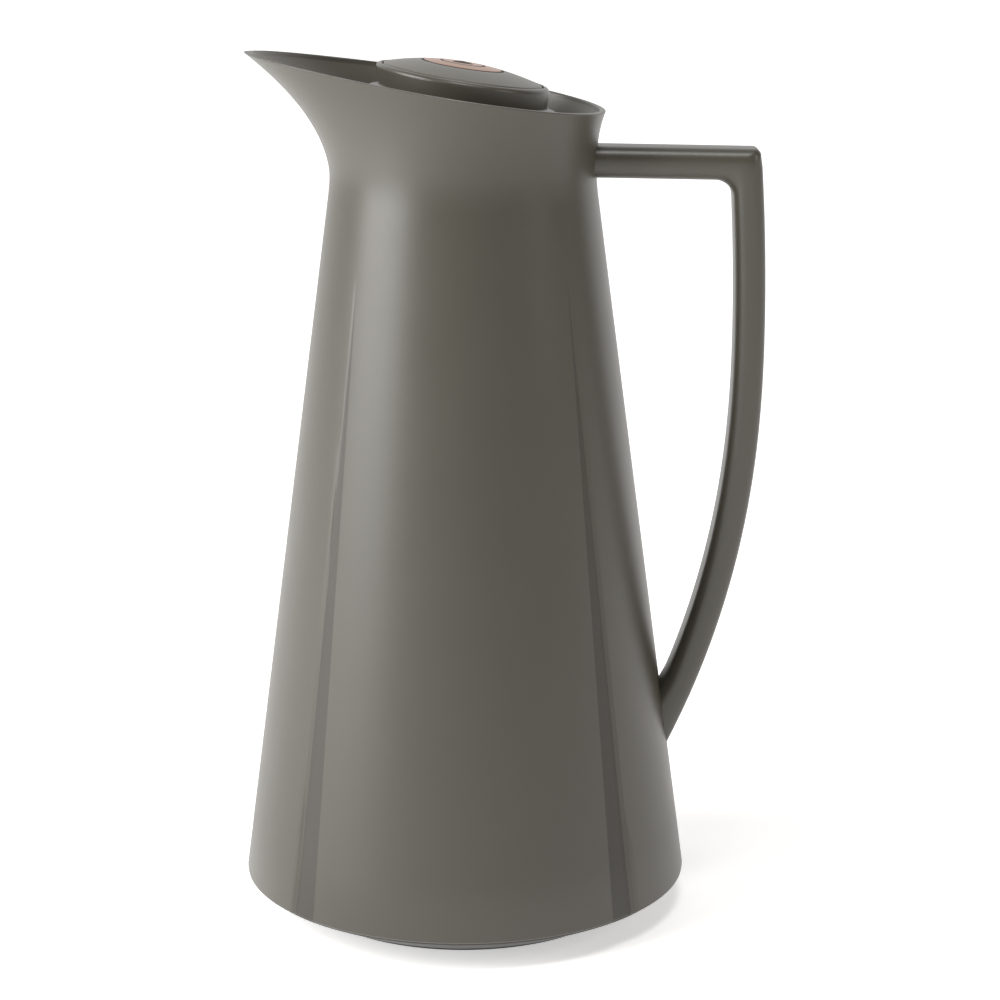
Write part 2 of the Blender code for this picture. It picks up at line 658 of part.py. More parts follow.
def make_handle(material, steel, shell):
    """Moulded handle, cut to the shell's outside and held by a screw at each end from within."""
    rings = [handle_ring(inner, outer) for inner, outer in handle_stations()]
    handle = add("handle", skin("handle", rings, closed=False), material)
    envelope = [flare_ring(level, -GAP) for level in (1.0,) + FLARE_LEVELS]
    envelope += [height_ring(WAIST_HEIGHT - WAIST_BLEND, -GAP), height_ring(EDGE_HEIGHT, -GAP)]
    combine(handle, add_cutter("shell_envelope", skin("shell_envelope", envelope, closed=False)))
    fixings = (("upper", ARM_TOP - SCREW_BELOW_ARM, SCREW_LENGTH_UPPER),
               ("lower", blade_foot(), SCREW_LENGTH_LOWER))
    for place, height, length in fixings:
        seat = shell_point(math.pi, height + SCREW_HEAD_RADIUS, WALL).x - 2 * GAP
        hole = rod(f"screw_hole_{place}", SCREW_RADIUS + SCREW_CLEARANCE,
                   (seat - 2 * WALL, 0, height), (seat + length + SCREW_TIP_ROOM, 0, height))
        cutter = add_cutter(f"screw_hole_{place}", hole)
        combine(shell, cutter)
        combine(handle, cutter)
        screw = turned(f"handle_screw_{place}", [
            (0, length), (SCREW_RADIUS, length), (SCREW_RADIUS, 0), (SCREW_HEAD_RADIUS, 0),
            (SCREW_HEAD_RADIUS, -SCREW_HEAD), (0, -SCREW_HEAD),
        ], steel, steps=SMALL_STEPS)
        screw.rotation_euler = (0, math.pi / 2, 0)
        screw.location = (seat * MM, 0, height * MM)
    return handle


# ---------------------------------------------------------------- stopper
def lid_bore():
    return LID_RADIUS - BEAD_WIDTH


def lid_step():
    """Height of the inner step that ends the button's travel, before it is slanted."""
    return LID_HEIGHT - LID_WALL_DROP - 0.6


def make_stopper_lid(material):
    """Lid ring: an edge bead and a wall that run parallel to the mouth, a drip flange, and a
    level deck that carries the spring and the latch."""
    edge = LID_HEIGHT
    wall_foot = edge - LID_WALL_DROP
    bore = lid_bore()
    body_inner = BODY_RADIUS - BODY_WALL
    deck_top = DECK_HEIGHT + DECK_THICKNESS
    hole = STEM_RADIUS + GAP
    lid = turned("stopper_lid", [
        (bore + 0.5, edge + 0.9), (LID_RADIUS - 0.5, edge + 0.8), (LID_RADIUS, edge),
        (LID_RADIUS - 0.15, edge - 0.8), (LID_RADIUS - LID_TAPER, wall_foot),
        (FLANGE_RADIUS, wall_foot - 0.8), (FLANGE_RADIUS, wall_foot - 1.8),
        (BODY_RADIUS, wall_foot - 2.0), (BODY_RADIUS, DECK_HEIGHT), (hole, DECK_HEIGHT),
        (hole, deck_top), (body_inner, deck_top), (body_inner, lid_step() - 1.8),
        (bore, lid_step()), (bore, edge + 0.5),
    ], material, steps=VISIBLE_STEPS)
    return slanted(lid, above=deck_top + 0.5)


def ring_profile(inner, outer, bottom, height):
    """A sealing ring with two wiping lips."""
    web = outer - 0.8
    return [
        (web, bottom + height), (outer, bottom + height * 0.85), (outer, bottom + height * 0.7),
        (web, bottom + height * 0.5), (outer, bottom + height * 0.3), (outer, bottom + height * 0.15),
        (web, bottom), (inner, bottom), (inner, bottom + height),
    ]


def make_stopper_body(material, rubber):
    """Hollow plug: the drink rises through its floor, past the valve, and leaves by the windows."""
    shoulder = SEAT_HEIGHT + GAP
    inner = BODY_RADIUS - BODY_WALL
    plug_inner = PLUG_RADIUS - PLUG_WALL
    lip_groove = BODY_RADIUS - RING_GROOVE_DEPTH
    plug_groove = PLUG_RADIUS - RING_GROOVE_DEPTH + RING_SLACK
    top = DECK_HEIGHT - GAP
    lip_top = LIP_SEAL_HEIGHT + RING_HEIGHT + RING_SLACK
    lip_bottom = LIP_SEAL_HEIGHT - RING_SLACK
    plug_top = PLUG_SEAL_HEIGHT + RING_HEIGHT + RING_SLACK
    plug_bottom = PLUG_SEAL_HEIGHT - RING_SLACK
    body = turned("stopper_body", [
        (BODY_RADIUS, top), (BODY_RADIUS, lip_top), (lip_groove, lip_top),
        (lip_groove, lip_bottom), (BODY_RADIUS, lip_bottom),
        (BODY_RADIUS, shoulder), (PLUG_RADIUS, shoulder), (PLUG_RADIUS, plug_top),
        (plug_groove, plug_top), (plug_groove, plug_bottom),
        (PLUG_RADIUS, plug_bottom), (PLUG_RADIUS, PLUG_BOTTOM),
        (VALVE_OPENING, PLUG_BOTTOM), (VALVE_OPENING, PLUG_BOTTOM + PLUG_FLOOR),
        (plug_inner, PLUG_BOTTOM + PLUG_FLOOR), (plug_inner, shoulder), (inner, shoulder + 2.5),
        (inner, top),
    ], material)
    for number in range(PORT_COUNT // 2):
        turn = math.tau * number / PORT_COUNT
        size = (2 * BODY_RADIUS + 10, PORT_WIDTH, PORT_TOP - PORT_BOTTOM)
        matrix = Matrix.Translation((0, 0, (PORT_TOP + PORT_BOTTOM) / 2))
        name = f"port_cutter_{number + 1}"
        cutter = add_cutter(name, block(name, size, matrix @ Matrix.Rotation(turn, 4, "Z")))
        combine(body, cutter)
    turned("lip_seal", ring_profile(lip_groove + GAP, BORE_RADIUS - WASHER_GAP,
                                    LIP_SEAL_HEIGHT, RING_HEIGHT), rubber, steps=GLASS_STEPS)
    turned("plug_seal", ring_profile(plug_groove + GAP, NECK_BORE - WASHER_GAP,
                                     PLUG_SEAL_HEIGHT, RING_HEIGHT), rubber, steps=GLASS_STEPS)
    turned("stem_seal", [
        (BOSS_RADIUS, top), (BOSS_RADIUS, top - STEM_SEAL_HEIGHT),
        (STEM_RADIUS + GAP, top - STEM_SEAL_HEIGHT), (STEM_RADIUS + GAP, top),
    ], rubber, steps=SMALL_STEPS)
    return body


def dome_height(radius):
    """Height of the button's top before it is slanted."""
    drop = DOME_RISE - DOME_EDGE_RISE
    return LID_HEIGHT + DOME_RISE - drop * (radius / lid_bore()) ** 2


def make_button(material, copper):
    """Domed push button with a sunk badge, a skirt that slides in the lid and a boss for the stem."""
    rim = lid_bore() - RUNNING_GAP
    sunk = BADGE_THICKNESS + GAP
    pocket = BADGE_RADIUS + GAP
    skirt_inner = rim - BUTTON_WALL
    skirt_bottom = lid_step() + BUTTON_TRAVEL + GAP
    bore_top = STEM_TOP + 2 * GAP
    under = LID_HEIGHT + DOME_EDGE_RISE - BUTTON_WALL
    hole = STEM_RADIUS + GAP
    button = turned("push_button", [
        (0, dome_height(0) - sunk), (pocket / 2, dome_height(pocket / 2) - sunk),
        (pocket, dome_height(pocket) - sunk), (pocket, dome_height(pocket)),
        (18, dome_height(18)), (22.5, dome_height(22.5)), (rim - 0.8, dome_height(rim - 0.8)),
        (rim - 0.2, dome_height(rim) - 0.3), (rim, dome_height(rim) - 1.0), (rim, skirt_bottom),
        (skirt_inner, skirt_bottom), (skirt_inner, under - 0.4), (BOSS_RADIUS, under + 1.0),
        (BOSS_RADIUS, BOSS_BOTTOM), (hole, BOSS_BOTTOM), (hole, bore_top), (0, bore_top),
    ], material, steps=VISIBLE_STEPS)
    slanted(button, above=BOSS_BOTTOM + 1)
    face = [(radius, dome_height(radius)) for radius in (0, BADGE_RADIUS / 2, BADGE_RADIUS)]
    back = [(radius, height - BADGE_THICKNESS) for radius, height in face[::-1]]
    badge = turned("badge", face + back, copper)
    slanted(badge, above=0)


def make_valve(plastic, steel, rubber):
    """Stem, disc and seal that the button pushes down, off the plug's floor."""
    seal_top = PLUG_BOTTOM - GAP
    disc_top = seal_top - VALVE_SEAL - GAP
    disc_bottom = disc_top - VALVE_THICKNESS
    bore = VALVE_SCREW_RADIUS + SCREW_CLEARANCE
    stem_bottom = seal_top + GAP
    turned("valve_stem", [
        (0, STEM_TOP), (STEM_RADIUS, STEM_TOP), (STEM_RADIUS, stem_bottom), (bore, stem_bottom),
        (bore, stem_bottom + VALVE_SCREW_REACH), (0, stem_bottom + VALVE_SCREW_REACH),
    ], steel, steps=SMALL_STEPS)
    turned("valve_disc", [
        (HUB_RADIUS, seal_top), (HUB_RADIUS, disc_top), (VALVE_RADIUS, disc_top),
        (VALVE_RADIUS, disc_bottom + 1), (VALVE_RADIUS - 1, disc_bottom), (bore, disc_bottom),
        (bore, seal_top),
    ], plastic, steps=SMALL_STEPS)
    turned("valve_seal", [
        (VALVE_RADIUS, seal_top), (VALVE_RADIUS, disc_top + GAP), (HUB_RADIUS + GAP, disc_top + GAP),
        (HUB_RADIUS + GAP, seal_top),
    ], rubber, steps=SMALL_STEPS)
    head_top = disc_bottom - GAP
    screw_top = stem_bottom + VALVE_SCREW_REACH - 1
    turned("valve_screw", [
        (0, screw_top), (VALVE_SCREW_RADIUS, screw_top), (VALVE_SCREW_RADIUS, head_top),
        (SCREW_HEAD_RADIUS, head_top), (SCREW_HEAD_RADIUS, head_top - VALVE_SCREW_HEAD),
        (0, head_top - VALVE_SCREW_HEAD),
    ], steel, steps=SMALL_STEPS)


def make_latch(material):
    """Cam ring of the click latch: it steps round by one tooth with each press."""
    bottom = DECK_HEIGHT + DECK_THICKNESS + GAP
    top = bottom + LATCH_HEIGHT
    ring = turned("latch_ring", [
        (LATCH_OUTER, top), (LATCH_OUTER, bottom), (LATCH_INNER, bottom), (LATCH_INNER, top),
    ], material)
    width = math.pi * (LATCH_INNER + LATCH_OUTER) / LATCH_TEETH / 2
    for number in range(LATCH_TEETH // 2):
        turn = Matrix.Rotation(math.tau * number / LATCH_TEETH, 4, "Z")
        size = (3 * LATCH_OUTER, width, 2 * LATCH_TOOTH_DEPTH)
        matrix = Matrix.Translation((0, 0, top)) @ turn
        name = f"latch_cutter_{number + 1}"
        combine(ring, add_cutter(name, block(name, size, matrix)))


def make_spring(material):
    """Return spring between the lid's deck and the button's boss."""
    bottom = DECK_HEIGHT + DECK_THICKNESS + GAP + SPRING_WIRE
    top = BOSS_BOTTOM - GAP - SPRING_WIRE
    per_turn = 8
    curve = bpy.data.curves.new("return_spring", "CURVE")
    curve.dimensions = "3D"
    curve.bevel_depth = SPRING_WIRE * MM
    curve.bevel_resolution = 1
    curve.use_fill_caps = True
    spline = curve.splines.new("POLY")
    count = SPRING_TURNS * per_turn
    spline.points.add(count)
    for i, point in enumerate(spline.points):
        turn = math.tau * i / per_turn
        height = bottom + (top - bottom) * i / count
        place = Vector((SPRING_RADIUS * math.cos(turn), SPRING_RADIUS * math.sin(turn), height))
        point.co = (*place * MM, 1)
    curve.materials.append(material)
    PARTS.objects.link(bpy.data.objects.new("return_spring", curve))


def group_moving_parts():
    """Empties on the jug's axis: the stopper lifts out along Z, the button and its valve slide
    down along Z, and the latch ring turns about Z."""
    names = {
        "stopper_axis": ("stopper_lid", "stopper_body", "lip_seal", "plug_seal", "stem_seal",
                         "return_spring"),
        "button_axis": ("push_button", "badge", "valve_stem", "valve_disc", "valve_seal",
                        "valve_screw"),
        "latch_axis": ("latch_ring",),
    }
    stopper = None
    for name, members in names.items():
        axis = bpy.data.objects.new(name, None)
        PARTS.objects.link(axis)
        axis.parent = stopper
        stopper = stopper or axis
        for member in members:
            bpy.data.objects[member].parent = axis


clear_scene()
PARTS = collection("pouring_jug")
CUTTERS = collection("cutters")

shell_plastic = finish("warm_grey_abs", "74716a", 0.42)
handle_plastic = finish("warm_grey_handle_abs", "706d66", 0.42)
lid_plastic = finish("warm_grey_lid_abs", "7a776f", 0.4)
dark_plastic = finish("dark_grey_pp", "45433e", 0.5)
white_plastic = finish("white_pom", "d8d6cf", 0.45)
glass = finish("clear_glass", "dfe6e4", 0.05)
silvered = finish("silvered_glass", "c9cbca", 0.12, 1.0)
pad_felt = finish("glass_fibre_felt", "cfc8b8", 0.9)
rubber = finish("black_rubber", "2a2927", 0.75)
silicone = finish("grey_silicone", "b9b7b0", 0.5)
copper = finish("brushed_copper", "b98a6e", 0.32, 1.0)
steel = finish("stainless_steel", "b4b4b1", 0.28, 1.0)

jug_shell = make_outer_shell(shell_plastic)
make_handle(handle_plastic, steel, jug_shell)
make_mouth_funnel(shell_plastic)
make_neck_seal(silicone)
make_flask(glass, silvered)
make_spacer_pads(pad_felt)
make_flask_cup(rubber)
make_base(dark_plastic, rubber)
make_stopper_lid(lid_plastic)
make_stopper_body(dark_plastic, silicone)
make_button(lid_plastic, copper)
make_valve(white_plastic, steel, silicone)
make_latch(white_plastic)
make_spring(steel)
group_moving_parts()
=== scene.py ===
"""Vacuum pouring jug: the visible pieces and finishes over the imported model.
Metres, Z up, z = 0 is the table, spout along -X, handle along +X."""
import math

import bmesh
import bpy
from mathutils import Matrix, Vector


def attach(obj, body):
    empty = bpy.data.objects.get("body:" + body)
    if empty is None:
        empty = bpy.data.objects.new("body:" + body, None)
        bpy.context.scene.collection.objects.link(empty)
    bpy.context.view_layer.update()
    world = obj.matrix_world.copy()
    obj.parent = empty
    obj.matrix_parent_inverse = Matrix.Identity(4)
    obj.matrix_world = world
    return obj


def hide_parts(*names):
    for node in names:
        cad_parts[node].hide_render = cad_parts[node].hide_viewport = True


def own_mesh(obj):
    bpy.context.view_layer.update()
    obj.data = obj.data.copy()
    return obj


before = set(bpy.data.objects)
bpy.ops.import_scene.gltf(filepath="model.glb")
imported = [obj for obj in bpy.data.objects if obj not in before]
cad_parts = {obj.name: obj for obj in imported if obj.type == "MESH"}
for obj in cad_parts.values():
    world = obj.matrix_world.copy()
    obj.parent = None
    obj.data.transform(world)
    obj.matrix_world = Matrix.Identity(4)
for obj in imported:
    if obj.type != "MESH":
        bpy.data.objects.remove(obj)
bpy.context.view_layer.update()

# ---------------------------------------------------------------- outer shell
# Injection-moulded ABS body: one wall from the bottom edge, up the cone and the waist, to the
# slanted rim and its spout. Four shallow grooves taper up the cone. It carries all the rest.
MM = 0.001                # all the sizes that follow are in millimetres
BASE_RADIUS = 78.2
EDGE_HEIGHT = 10.5        # the bottom edge
EDGE_ROUND = 1.4
WAIST_RADIUS = 45.3
WAIST_HEIGHT = 257.0
WAIST_BLEND = 6.0         # half the height over which the cone turns upright
TAPER = (BASE_RADIUS - WAIST_RADIUS) / (WAIST_HEIGHT - EDGE_HEIGHT)
RIM_RADIUS = 48.4
RIM_BACK_HEIGHT = 280.3
RIM_SLOPE = math.tan(math.radians(9.13))
RIM_ROUND = 0.45
SPOUT_REACH = 25.6
SPOUT_SPREAD = math.radians(36)
SPOUT_POINTEDNESS = 1.6
FLARE_POWER = 2.455       # how late the flare opens at the jug's sides
FLARE_SWING = 0.545       # how much sooner it opens at the spout, and later at the back
SHELL_WALL = 2.0
OVERSHOOT = 1.06          # the flare is made this much too tall, then cut by the rim's plane
TUBE = 100.0              # radius of the straight tube that the shell is shaped from
CROWDING = 0.3            # how much closer together the tube's steps lie at the spout
ROUND_STEPS = 168
CONE_STEP = 18.2
WAIST_RUN = 7.0           # finer steps start this far below the waist


def linear(colour):
    """An sRGB hex colour as the linear values that a shader takes."""
    channels = [int(colour[i:i + 2], 16) / 255 for i in (0, 2, 4)]
    return [c / 12.92 if c <= 0.04045 else ((c + 0.055) / 1.055) ** 2.4 for c in channels] + [1]


def add_node(owner, kind, settings=None, inputs=None):
    """Adds a node to a material or the world, with its settings, and its inputs as values or as
    the sockets that feed them."""
    tree = owner.node_tree
    node = tree.nodes.new("ShaderNode" + kind)
    for name, value in (settings or {}).items():
        setattr(node, name, value)
    for name, value in (inputs or {}).items():
        if isinstance(value, bpy.types.NodeSocket):
            tree.links.new(value, node.inputs[name])
        else:
            node.inputs[name].default_value = value
    return node


def rim_radius(theta):
    """The rim's radius at an angle from the spout: round, with the spout drawn out of it."""
    away = min(theta % math.tau, -theta % math.tau)
    return RIM_RADIUS + SPOUT_REACH * math.exp(-((away / SPOUT_SPREAD) ** SPOUT_POINTEDNESS))


def rim_height(theta):
    return RIM_BACK_HEIGHT + (RIM_RADIUS + rim_radius(theta) * math.cos(theta)) * RIM_SLOPE


def cone_radius(height):
    """The cone's outer radius, which stays the same above the waist."""
    start = WAIST_HEIGHT - WAIST_BLEND
    eased = min(max(height - start, 0), 2 * WAIST_BLEND)
    straight = min(height, start + 2 * WAIST_BLEND)
    return BASE_RADIUS - TAPER * (straight - EDGE_HEIGHT - eased ** 2 / (4 * WAIST_BLEND))


def shell_radius(theta, height):
    """Outer radius at an angle from the spout: the cone, eased into the waist and the flare."""
    if height <= WAIST_HEIGHT:
        return cone_radius(height)
    level = (height - WAIST_HEIGHT) / (rim_height(theta) - WAIST_HEIGHT)
    power = FLARE_POWER - FLARE_SWING * math.cos(theta)
    top = cone_radius(WAIST_HEIGHT + 2 * WAIST_BLEND)
    return cone_radius(height) + (rim_radius(theta) - top) * level ** power


def shell_point(theta, height, inward):
    """A point this far inside the shell's outer surface, in metres."""
    def at(angle, level):
        radius = shell_radius(angle, level)
        return Vector((-radius * math.cos(angle), -radius * math.sin(angle), level))

    step = 0.02           # radians round the axis and millimetres up, to find the slope
    around = at(theta + step, height) - at(theta - step, height)
    upward = at(theta, height + step) - at(theta, height - step)
    return (at(theta, height) - around.cross(upward).normalized() * inward) * MM


def crowded(theta):
    """An angle moved towards the spout, where the rim bends most."""
    return theta - CROWDING * math.sin(theta)


def spun(profile, steps, roundings=(), ring=False):
    """A bmesh with a chain of (radius, height) points in millimetres turned about Z. Each
    rounding is (index, radius) of a corner of the chain that is rounded first. A ring's chain
    ends where it began."""
    mesh = bmesh.new()
    chain = [mesh.verts.new((radius * MM, 0, height * MM)) for radius, height in profile]
    for lower, upper in zip(chain, chain[1:]):
        mesh.edges.new((lower, upper))
    if ring:
        mesh.edges.new((chain[-1], chain[0]))
    for index, radius in roundings:
        bmesh.ops.bevel(mesh, geom=[chain[index]], offset=radius * MM, offset_type="OFFSET",
                        segments=4, profile=0.5, affect="VERTICES", material=-1)
    bmesh.ops.spin(mesh, geom=mesh.verts[:] + mesh.edges[:], cent=(0, 0, 0), axis=(0, 0, 1),
                   angle=math.tau, steps=steps, use_merge=True)
    bmesh.ops.remove_doubles(mesh, verts=mesh.verts, dist=0.000001)
    bmesh.ops.recalc_face_normals(mesh, faces=mesh.faces)
    return mesh


def wrap_on_shell(mesh):
    """Moves a turned tube onto the shell: its radius tells how far inside the outer surface a
    point lies, and its height, above the waist, which share of the way to the rim."""
    for vertex in mesh.verts:
        x, y, z = vertex.co / MM
        theta = crowded(math.atan2(-y, -x))
        if z > WAIST_HEIGHT:
            share = (z - WAIST_HEIGHT) / (RIM_BACK_HEIGHT - WAIST_HEIGHT)
            z = WAIST_HEIGHT + (rim_height(theta) - WAIST_HEIGHT) * share
        vertex.co = shell_point(theta, z, TUBE - math.hypot(x, y))


def as_object(name, mesh, *materials):
    """A smooth-shaded object from a finished bmesh, with creases where faces meet at an angle."""
    bmesh.ops.remove_doubles(mesh, verts=mesh.verts, dist=0.000001)
    bmesh.ops.recalc_face_normals(mesh, faces=mesh.faces)
    data = bpy.data.meshes.new(name)
    mesh.to_mesh(data)
    mesh.free()
    for material in materials:
        data.materials.append(material)
    data.shade_smooth()
    data.set_sharp_from_angle(angle=math.radians(32))
    obj = bpy.data.objects.new(name, data)
    bpy.context.scene.collection.objects.link(obj)
    return obj


GRAIN_SPACING = 0.5       # the tool's grain is 0.1 mm, and is drawn coarser so that it shows
GRAIN_DEPTH = 0.04
DRIFT_SCALE = 33.0        # the gloss changes over about 30 mm
DRIFT = 0.015             # by this much


def moulded(name, colour, roughness, grain):
    """Plastic or rubber from a spark-eroded tool: even and matt, with soft wide reflections, a
    fine grain, and a colour and gloss that change very little from place to place."""
    material = bpy.data.materials.new(name)
    material.use_nodes = True
    shader = material.node_tree.nodes["Principled BSDF"]
    place = add_node(material, "TexCoord").outputs["Object"]
    drift = add_node(material, "TexNoise", inputs={"Vector": place, "Scale": DRIFT_SCALE,
                                                   "Detail": 2.0})
    gloss = add_node(material, "MapRange", inputs={
        "Value": drift.outputs["Fac"], "From Min": 0.3, "From Max": 0.7,
        "To Min": roughness - DRIFT, "To Max": roughness + DRIFT})
    tint = add_node(material, "MapRange", inputs={
        "Value": drift.outputs["Fac"], "From Min": 0.3, "From Max": 0.7,
        "To Min": 1 - DRIFT, "To Max": 1 + DRIFT})
    shade = add_node(material, "HueSaturation", inputs={"Value": tint.outputs["Result"],
                                                        "Color": linear(colour)})
    pits = add_node(material, "TexNoise", inputs={
        "Vector": place, "Scale": 1 / (GRAIN_SPACING * MM), "Detail": 3.0})
    bump = add_node(material, "Bump", inputs={"Height": pits.outputs["Fac"], "Strength": grain,
                                              "Distance": GRAIN_DEPTH * MM})
    shader.inputs["IOR"].default_value = 1.54
    links = material.node_tree.links
    links.new(shade.outputs["Color"], shader.inputs["Base Color"])
    links.new(gloss.outputs["Result"], shader.inputs["Roughness"])
    links.new(bump.outputs["Normal"], shader.inputs["Normal"])
    return material


GROOVE_TOP = 228.0
GROOVE_HALF = 5.6         # half its width at the bottom edge
GROOVE_DEPTH = 0.9
GROOVE_EDGE_SHARE = 0.6   # share of the depth that is left on the rounded bottom edge
GROOVE_RAMP = 1.6         # width of the gentle flank
GROOVE_LIP = 0.3          # width of the steep flank
SKIN = 1.7                # what lies less deep than this is the wall's outer face
GROOVE_MARGIN = 12.0      # faces this far above the tip are still looked at
GROOVE_PLACES = (45, 135, 225, 315)


def cut_groove(mesh, degrees):
    """Splits the cone along a groove's four edges and sinks what lies between them. They run
    straight from one point at the top, and its steep flank faces away from the jug's sides."""
    turn = math.radians(degrees)
    outward = Vector((-math.cos(turn), -math.sin(turn), 0))
    across = Vector((-math.sin(turn), math.cos(turn), 0)) * (1 if math.sin(2 * turn) > 0 else -1)
    apex = outward * cone_radius(GROOVE_TOP) + Vector((0, 0, GROOVE_TOP))
    foot = outward * cone_radius(EDGE_HEIGHT) + Vector((0, 0, EDGE_HEIGHT))

    def near(vertex):
        place = vertex.co / MM
        on_outside = math.hypot(place.x, place.y) > cone_radius(place.z) - SKIN
        return (on_outside and place.z < GROOVE_TOP + GROOVE_MARGIN and place.dot(outward) > 0
                and abs(place.dot(across)) < 2.2 * GROOVE_HALF)

    for offset in (-GROOVE_HALF, GROOVE_LIP - GROOVE_HALF, GROOVE_HALF - GROOVE_RAMP, GROOVE_HALF):
        faces = [face for face in mesh.faces if all(near(v) for v in face.verts)]
        edges = {edge for face in faces for edge in face.edges}
        points = {vertex for face in faces for vertex in face.verts}
        normal = (foot + across * offset - apex).cross(outward)
        bmesh.ops.bisect_plane(mesh, geom=faces + list(edges) + list(points), dist=0.0000001,
                               plane_co=apex * MM, plane_no=normal)
    sunk = {}
    for vertex in mesh.verts:
        place = vertex.co / MM
        share = (GROOVE_TOP - place.z) / (GROOVE_TOP - EDGE_HEIGHT)
        if share <= 0 or not near(vertex):
            continue
        offset = place.dot(across) / share
        if -GROOVE_HALF < offset < GROOVE_HALF:
            flank = min((offset + GROOVE_HALF) / GROOVE_LIP, (GROOVE_HALF - offset) / GROOVE_RAMP, 1)
            depth = GROOVE_DEPTH * (GROOVE_EDGE_SHARE if share > 0.99 else share)
            sunk[vertex] = outward * (depth * flank)
    for vertex, depth in sunk.items():
        vertex.co -= depth * MM
    # The groove's floor takes the second material, whose darker colour is painted shade.
    for face in mesh.faces:
        centre = face.calc_center_median() / MM
        share = (GROOVE_TOP - centre.z) / (GROOVE_TOP - EDGE_HEIGHT)
        if share > 0 and all(near(v) for v in face.verts):
            offset = centre.dot(across) / share
            if -GROOVE_HALF < offset < GROOVE_HALF - GROOVE_RAMP:
                face.material_index = 1


outside = [(TUBE - EDGE_ROUND, EDGE_HEIGHT), (TUBE - 0.8, EDGE_HEIGHT + 0.15),
           (TUBE - 0.25, EDGE_HEIGHT + 0.55), (TUBE, EDGE_HEIGHT + EDGE_ROUND)]
outside += [(TUBE, EDGE_HEIGHT + EDGE_ROUND + CONE_STEP * i) for i in range(1, 13)]
outside += [(TUBE, WAIST_HEIGHT - WAIST_RUN + WAIST_RUN * i / 6) for i in range(1, 7)]
rise = (RIM_BACK_HEIGHT - WAIST_HEIGHT) * OVERSHOOT
outside += [(TUBE, WAIST_HEIGHT + rise * i / 24) for i in range(1, 25)]
inside = [(TUBE - SHELL_WALL, height) for _, height in outside[4::2][::-1] + [outside[0]]]
shell_mesh = spun([(TUBE - SHELL_WALL, outside[-1][1])] + inside + outside, steps=ROUND_STEPS)
wrap_on_shell(shell_mesh)
bmesh.ops.bisect_plane(
    shell_mesh, geom=shell_mesh.verts[:] + shell_mesh.edges[:] + shell_mesh.faces[:],
    dist=0.0000001, plane_co=(RIM_RADIUS * MM, 0, RIM_BACK_HEIGHT * MM),
    plane_no=(RIM_SLOPE, 0, 1), clear_outer=True)
rim_edges = [edge for edge in shell_mesh.edges if edge.is_boundary]
bmesh.ops.bridge_loops(shell_mesh, edges=rim_edges)
bmesh.ops.bevel(shell_mesh, geom=rim_edges, offset=RIM_ROUND * MM, offset_type="OFFSET",
                segments=3, profile=0.5, affect="EDGES", material=-1)
for degrees in GROOVE_PLACES:
    cut_groove(shell_mesh, degrees)

# Satin ABS reflects the softboxes as wide bands without an edge. The grooves have a coarser
# tool finish, so they look flatter than the cone; their darker colour is painted shade.
SHELL_GREY = "45423a"
shell_abs = moulded("warm grey satin ABS", SHELL_GREY, 0.38, 0.10)
groove_abs_painted_shade = moulded("warm grey matt ABS in the grooves", "36332c", 0.52, 0.25)
outer_shell = as_object("outer_shell_skin", shell_mesh, shell_abs, groove_abs_painted_shade)
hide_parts("outer_shell")
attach(outer_shell, "jug")

# ---------------------------------------------------------------- mouth liner
# ABS liner of the mouth, welded inside the shell's rim. Its wall leaves the rim with no step, and
# its floor falls to the stopper's bore, whose ledge presses the seal on the flask's lip.
FLOOR_EDGE = 268.7        # the wall starts here
FLOOR_OUTER = 266.6       # height of the floor at its outer edge
LINER_TOP = 0.965         # share of the way from the waist to the rim
LINER_THICKNESS = 1.6
LINER_AT_RIM = 1.94       # from the shell's outer surface to the liner's inner face, at the rim
LINER_INSIDE = 3.9        # and low down
NECK_BORE = 22.3
BORE_RADIUS = 27.5
BORE_TOP = 258.5
SEAT_HEIGHT = 248.0
SEAT_UNDER = 243.9
SKIRT_INNER = 28.2
SKIRT_OUTER = 31.5
SKIRT_FOOT = 235.9
WALL_MARK = 1000.0        # heights above this mark are shares of the wall, in hundredths


def eased(share):
    share = min(max(share, 0), 1)
    return share * share * (3 - 2 * share)


def liner_inward(share):
    """How far inside the shell's outer surface the liner's inner face is: 1 is at the rim."""
    return LINER_AT_RIM + (LINER_INSIDE - LINER_AT_RIM) * eased((1 - share) / 0.62)


def liner_outward(share):
    """The same for its outer face, which thins out as it nears the rim."""
    return min(liner_inward(share) + LINER_THICKNESS, 1.3 + 2.2 * (1 - share) ** 0.5)


floor_in = shell_radius(math.pi, 266.0) - LINER_INSIDE
wall_shares = [i / 14 for i in range(15)]
liner_profile = [(TUBE - liner_inward(t), WALL_MARK + 100 * t) for t in wall_shares[::-1]]
liner_profile += [
    (floor_in, FLOOR_OUTER), (BORE_RADIUS, BORE_TOP), (BORE_RADIUS, SEAT_HEIGHT),
    (NECK_BORE, SEAT_HEIGHT), (NECK_BORE, SEAT_UNDER), (SKIRT_INNER, SEAT_UNDER),
    (SKIRT_INNER, SKIRT_FOOT), (SKIRT_OUTER, SKIRT_FOOT), (SKIRT_OUTER, BORE_TOP - 0.3),
    (floor_in + LINER_THICKNESS, FLOOR_OUTER - 1.0)]
liner_profile += [(TUBE - liner_outward(t), WALL_MARK + 100 * t) for t in wall_shares]
liner_mesh = spun(liner_profile, steps=ROUND_STEPS, ring=True,
                  roundings=((15, 1.2), (16, 0.5), (18, 0.3)))
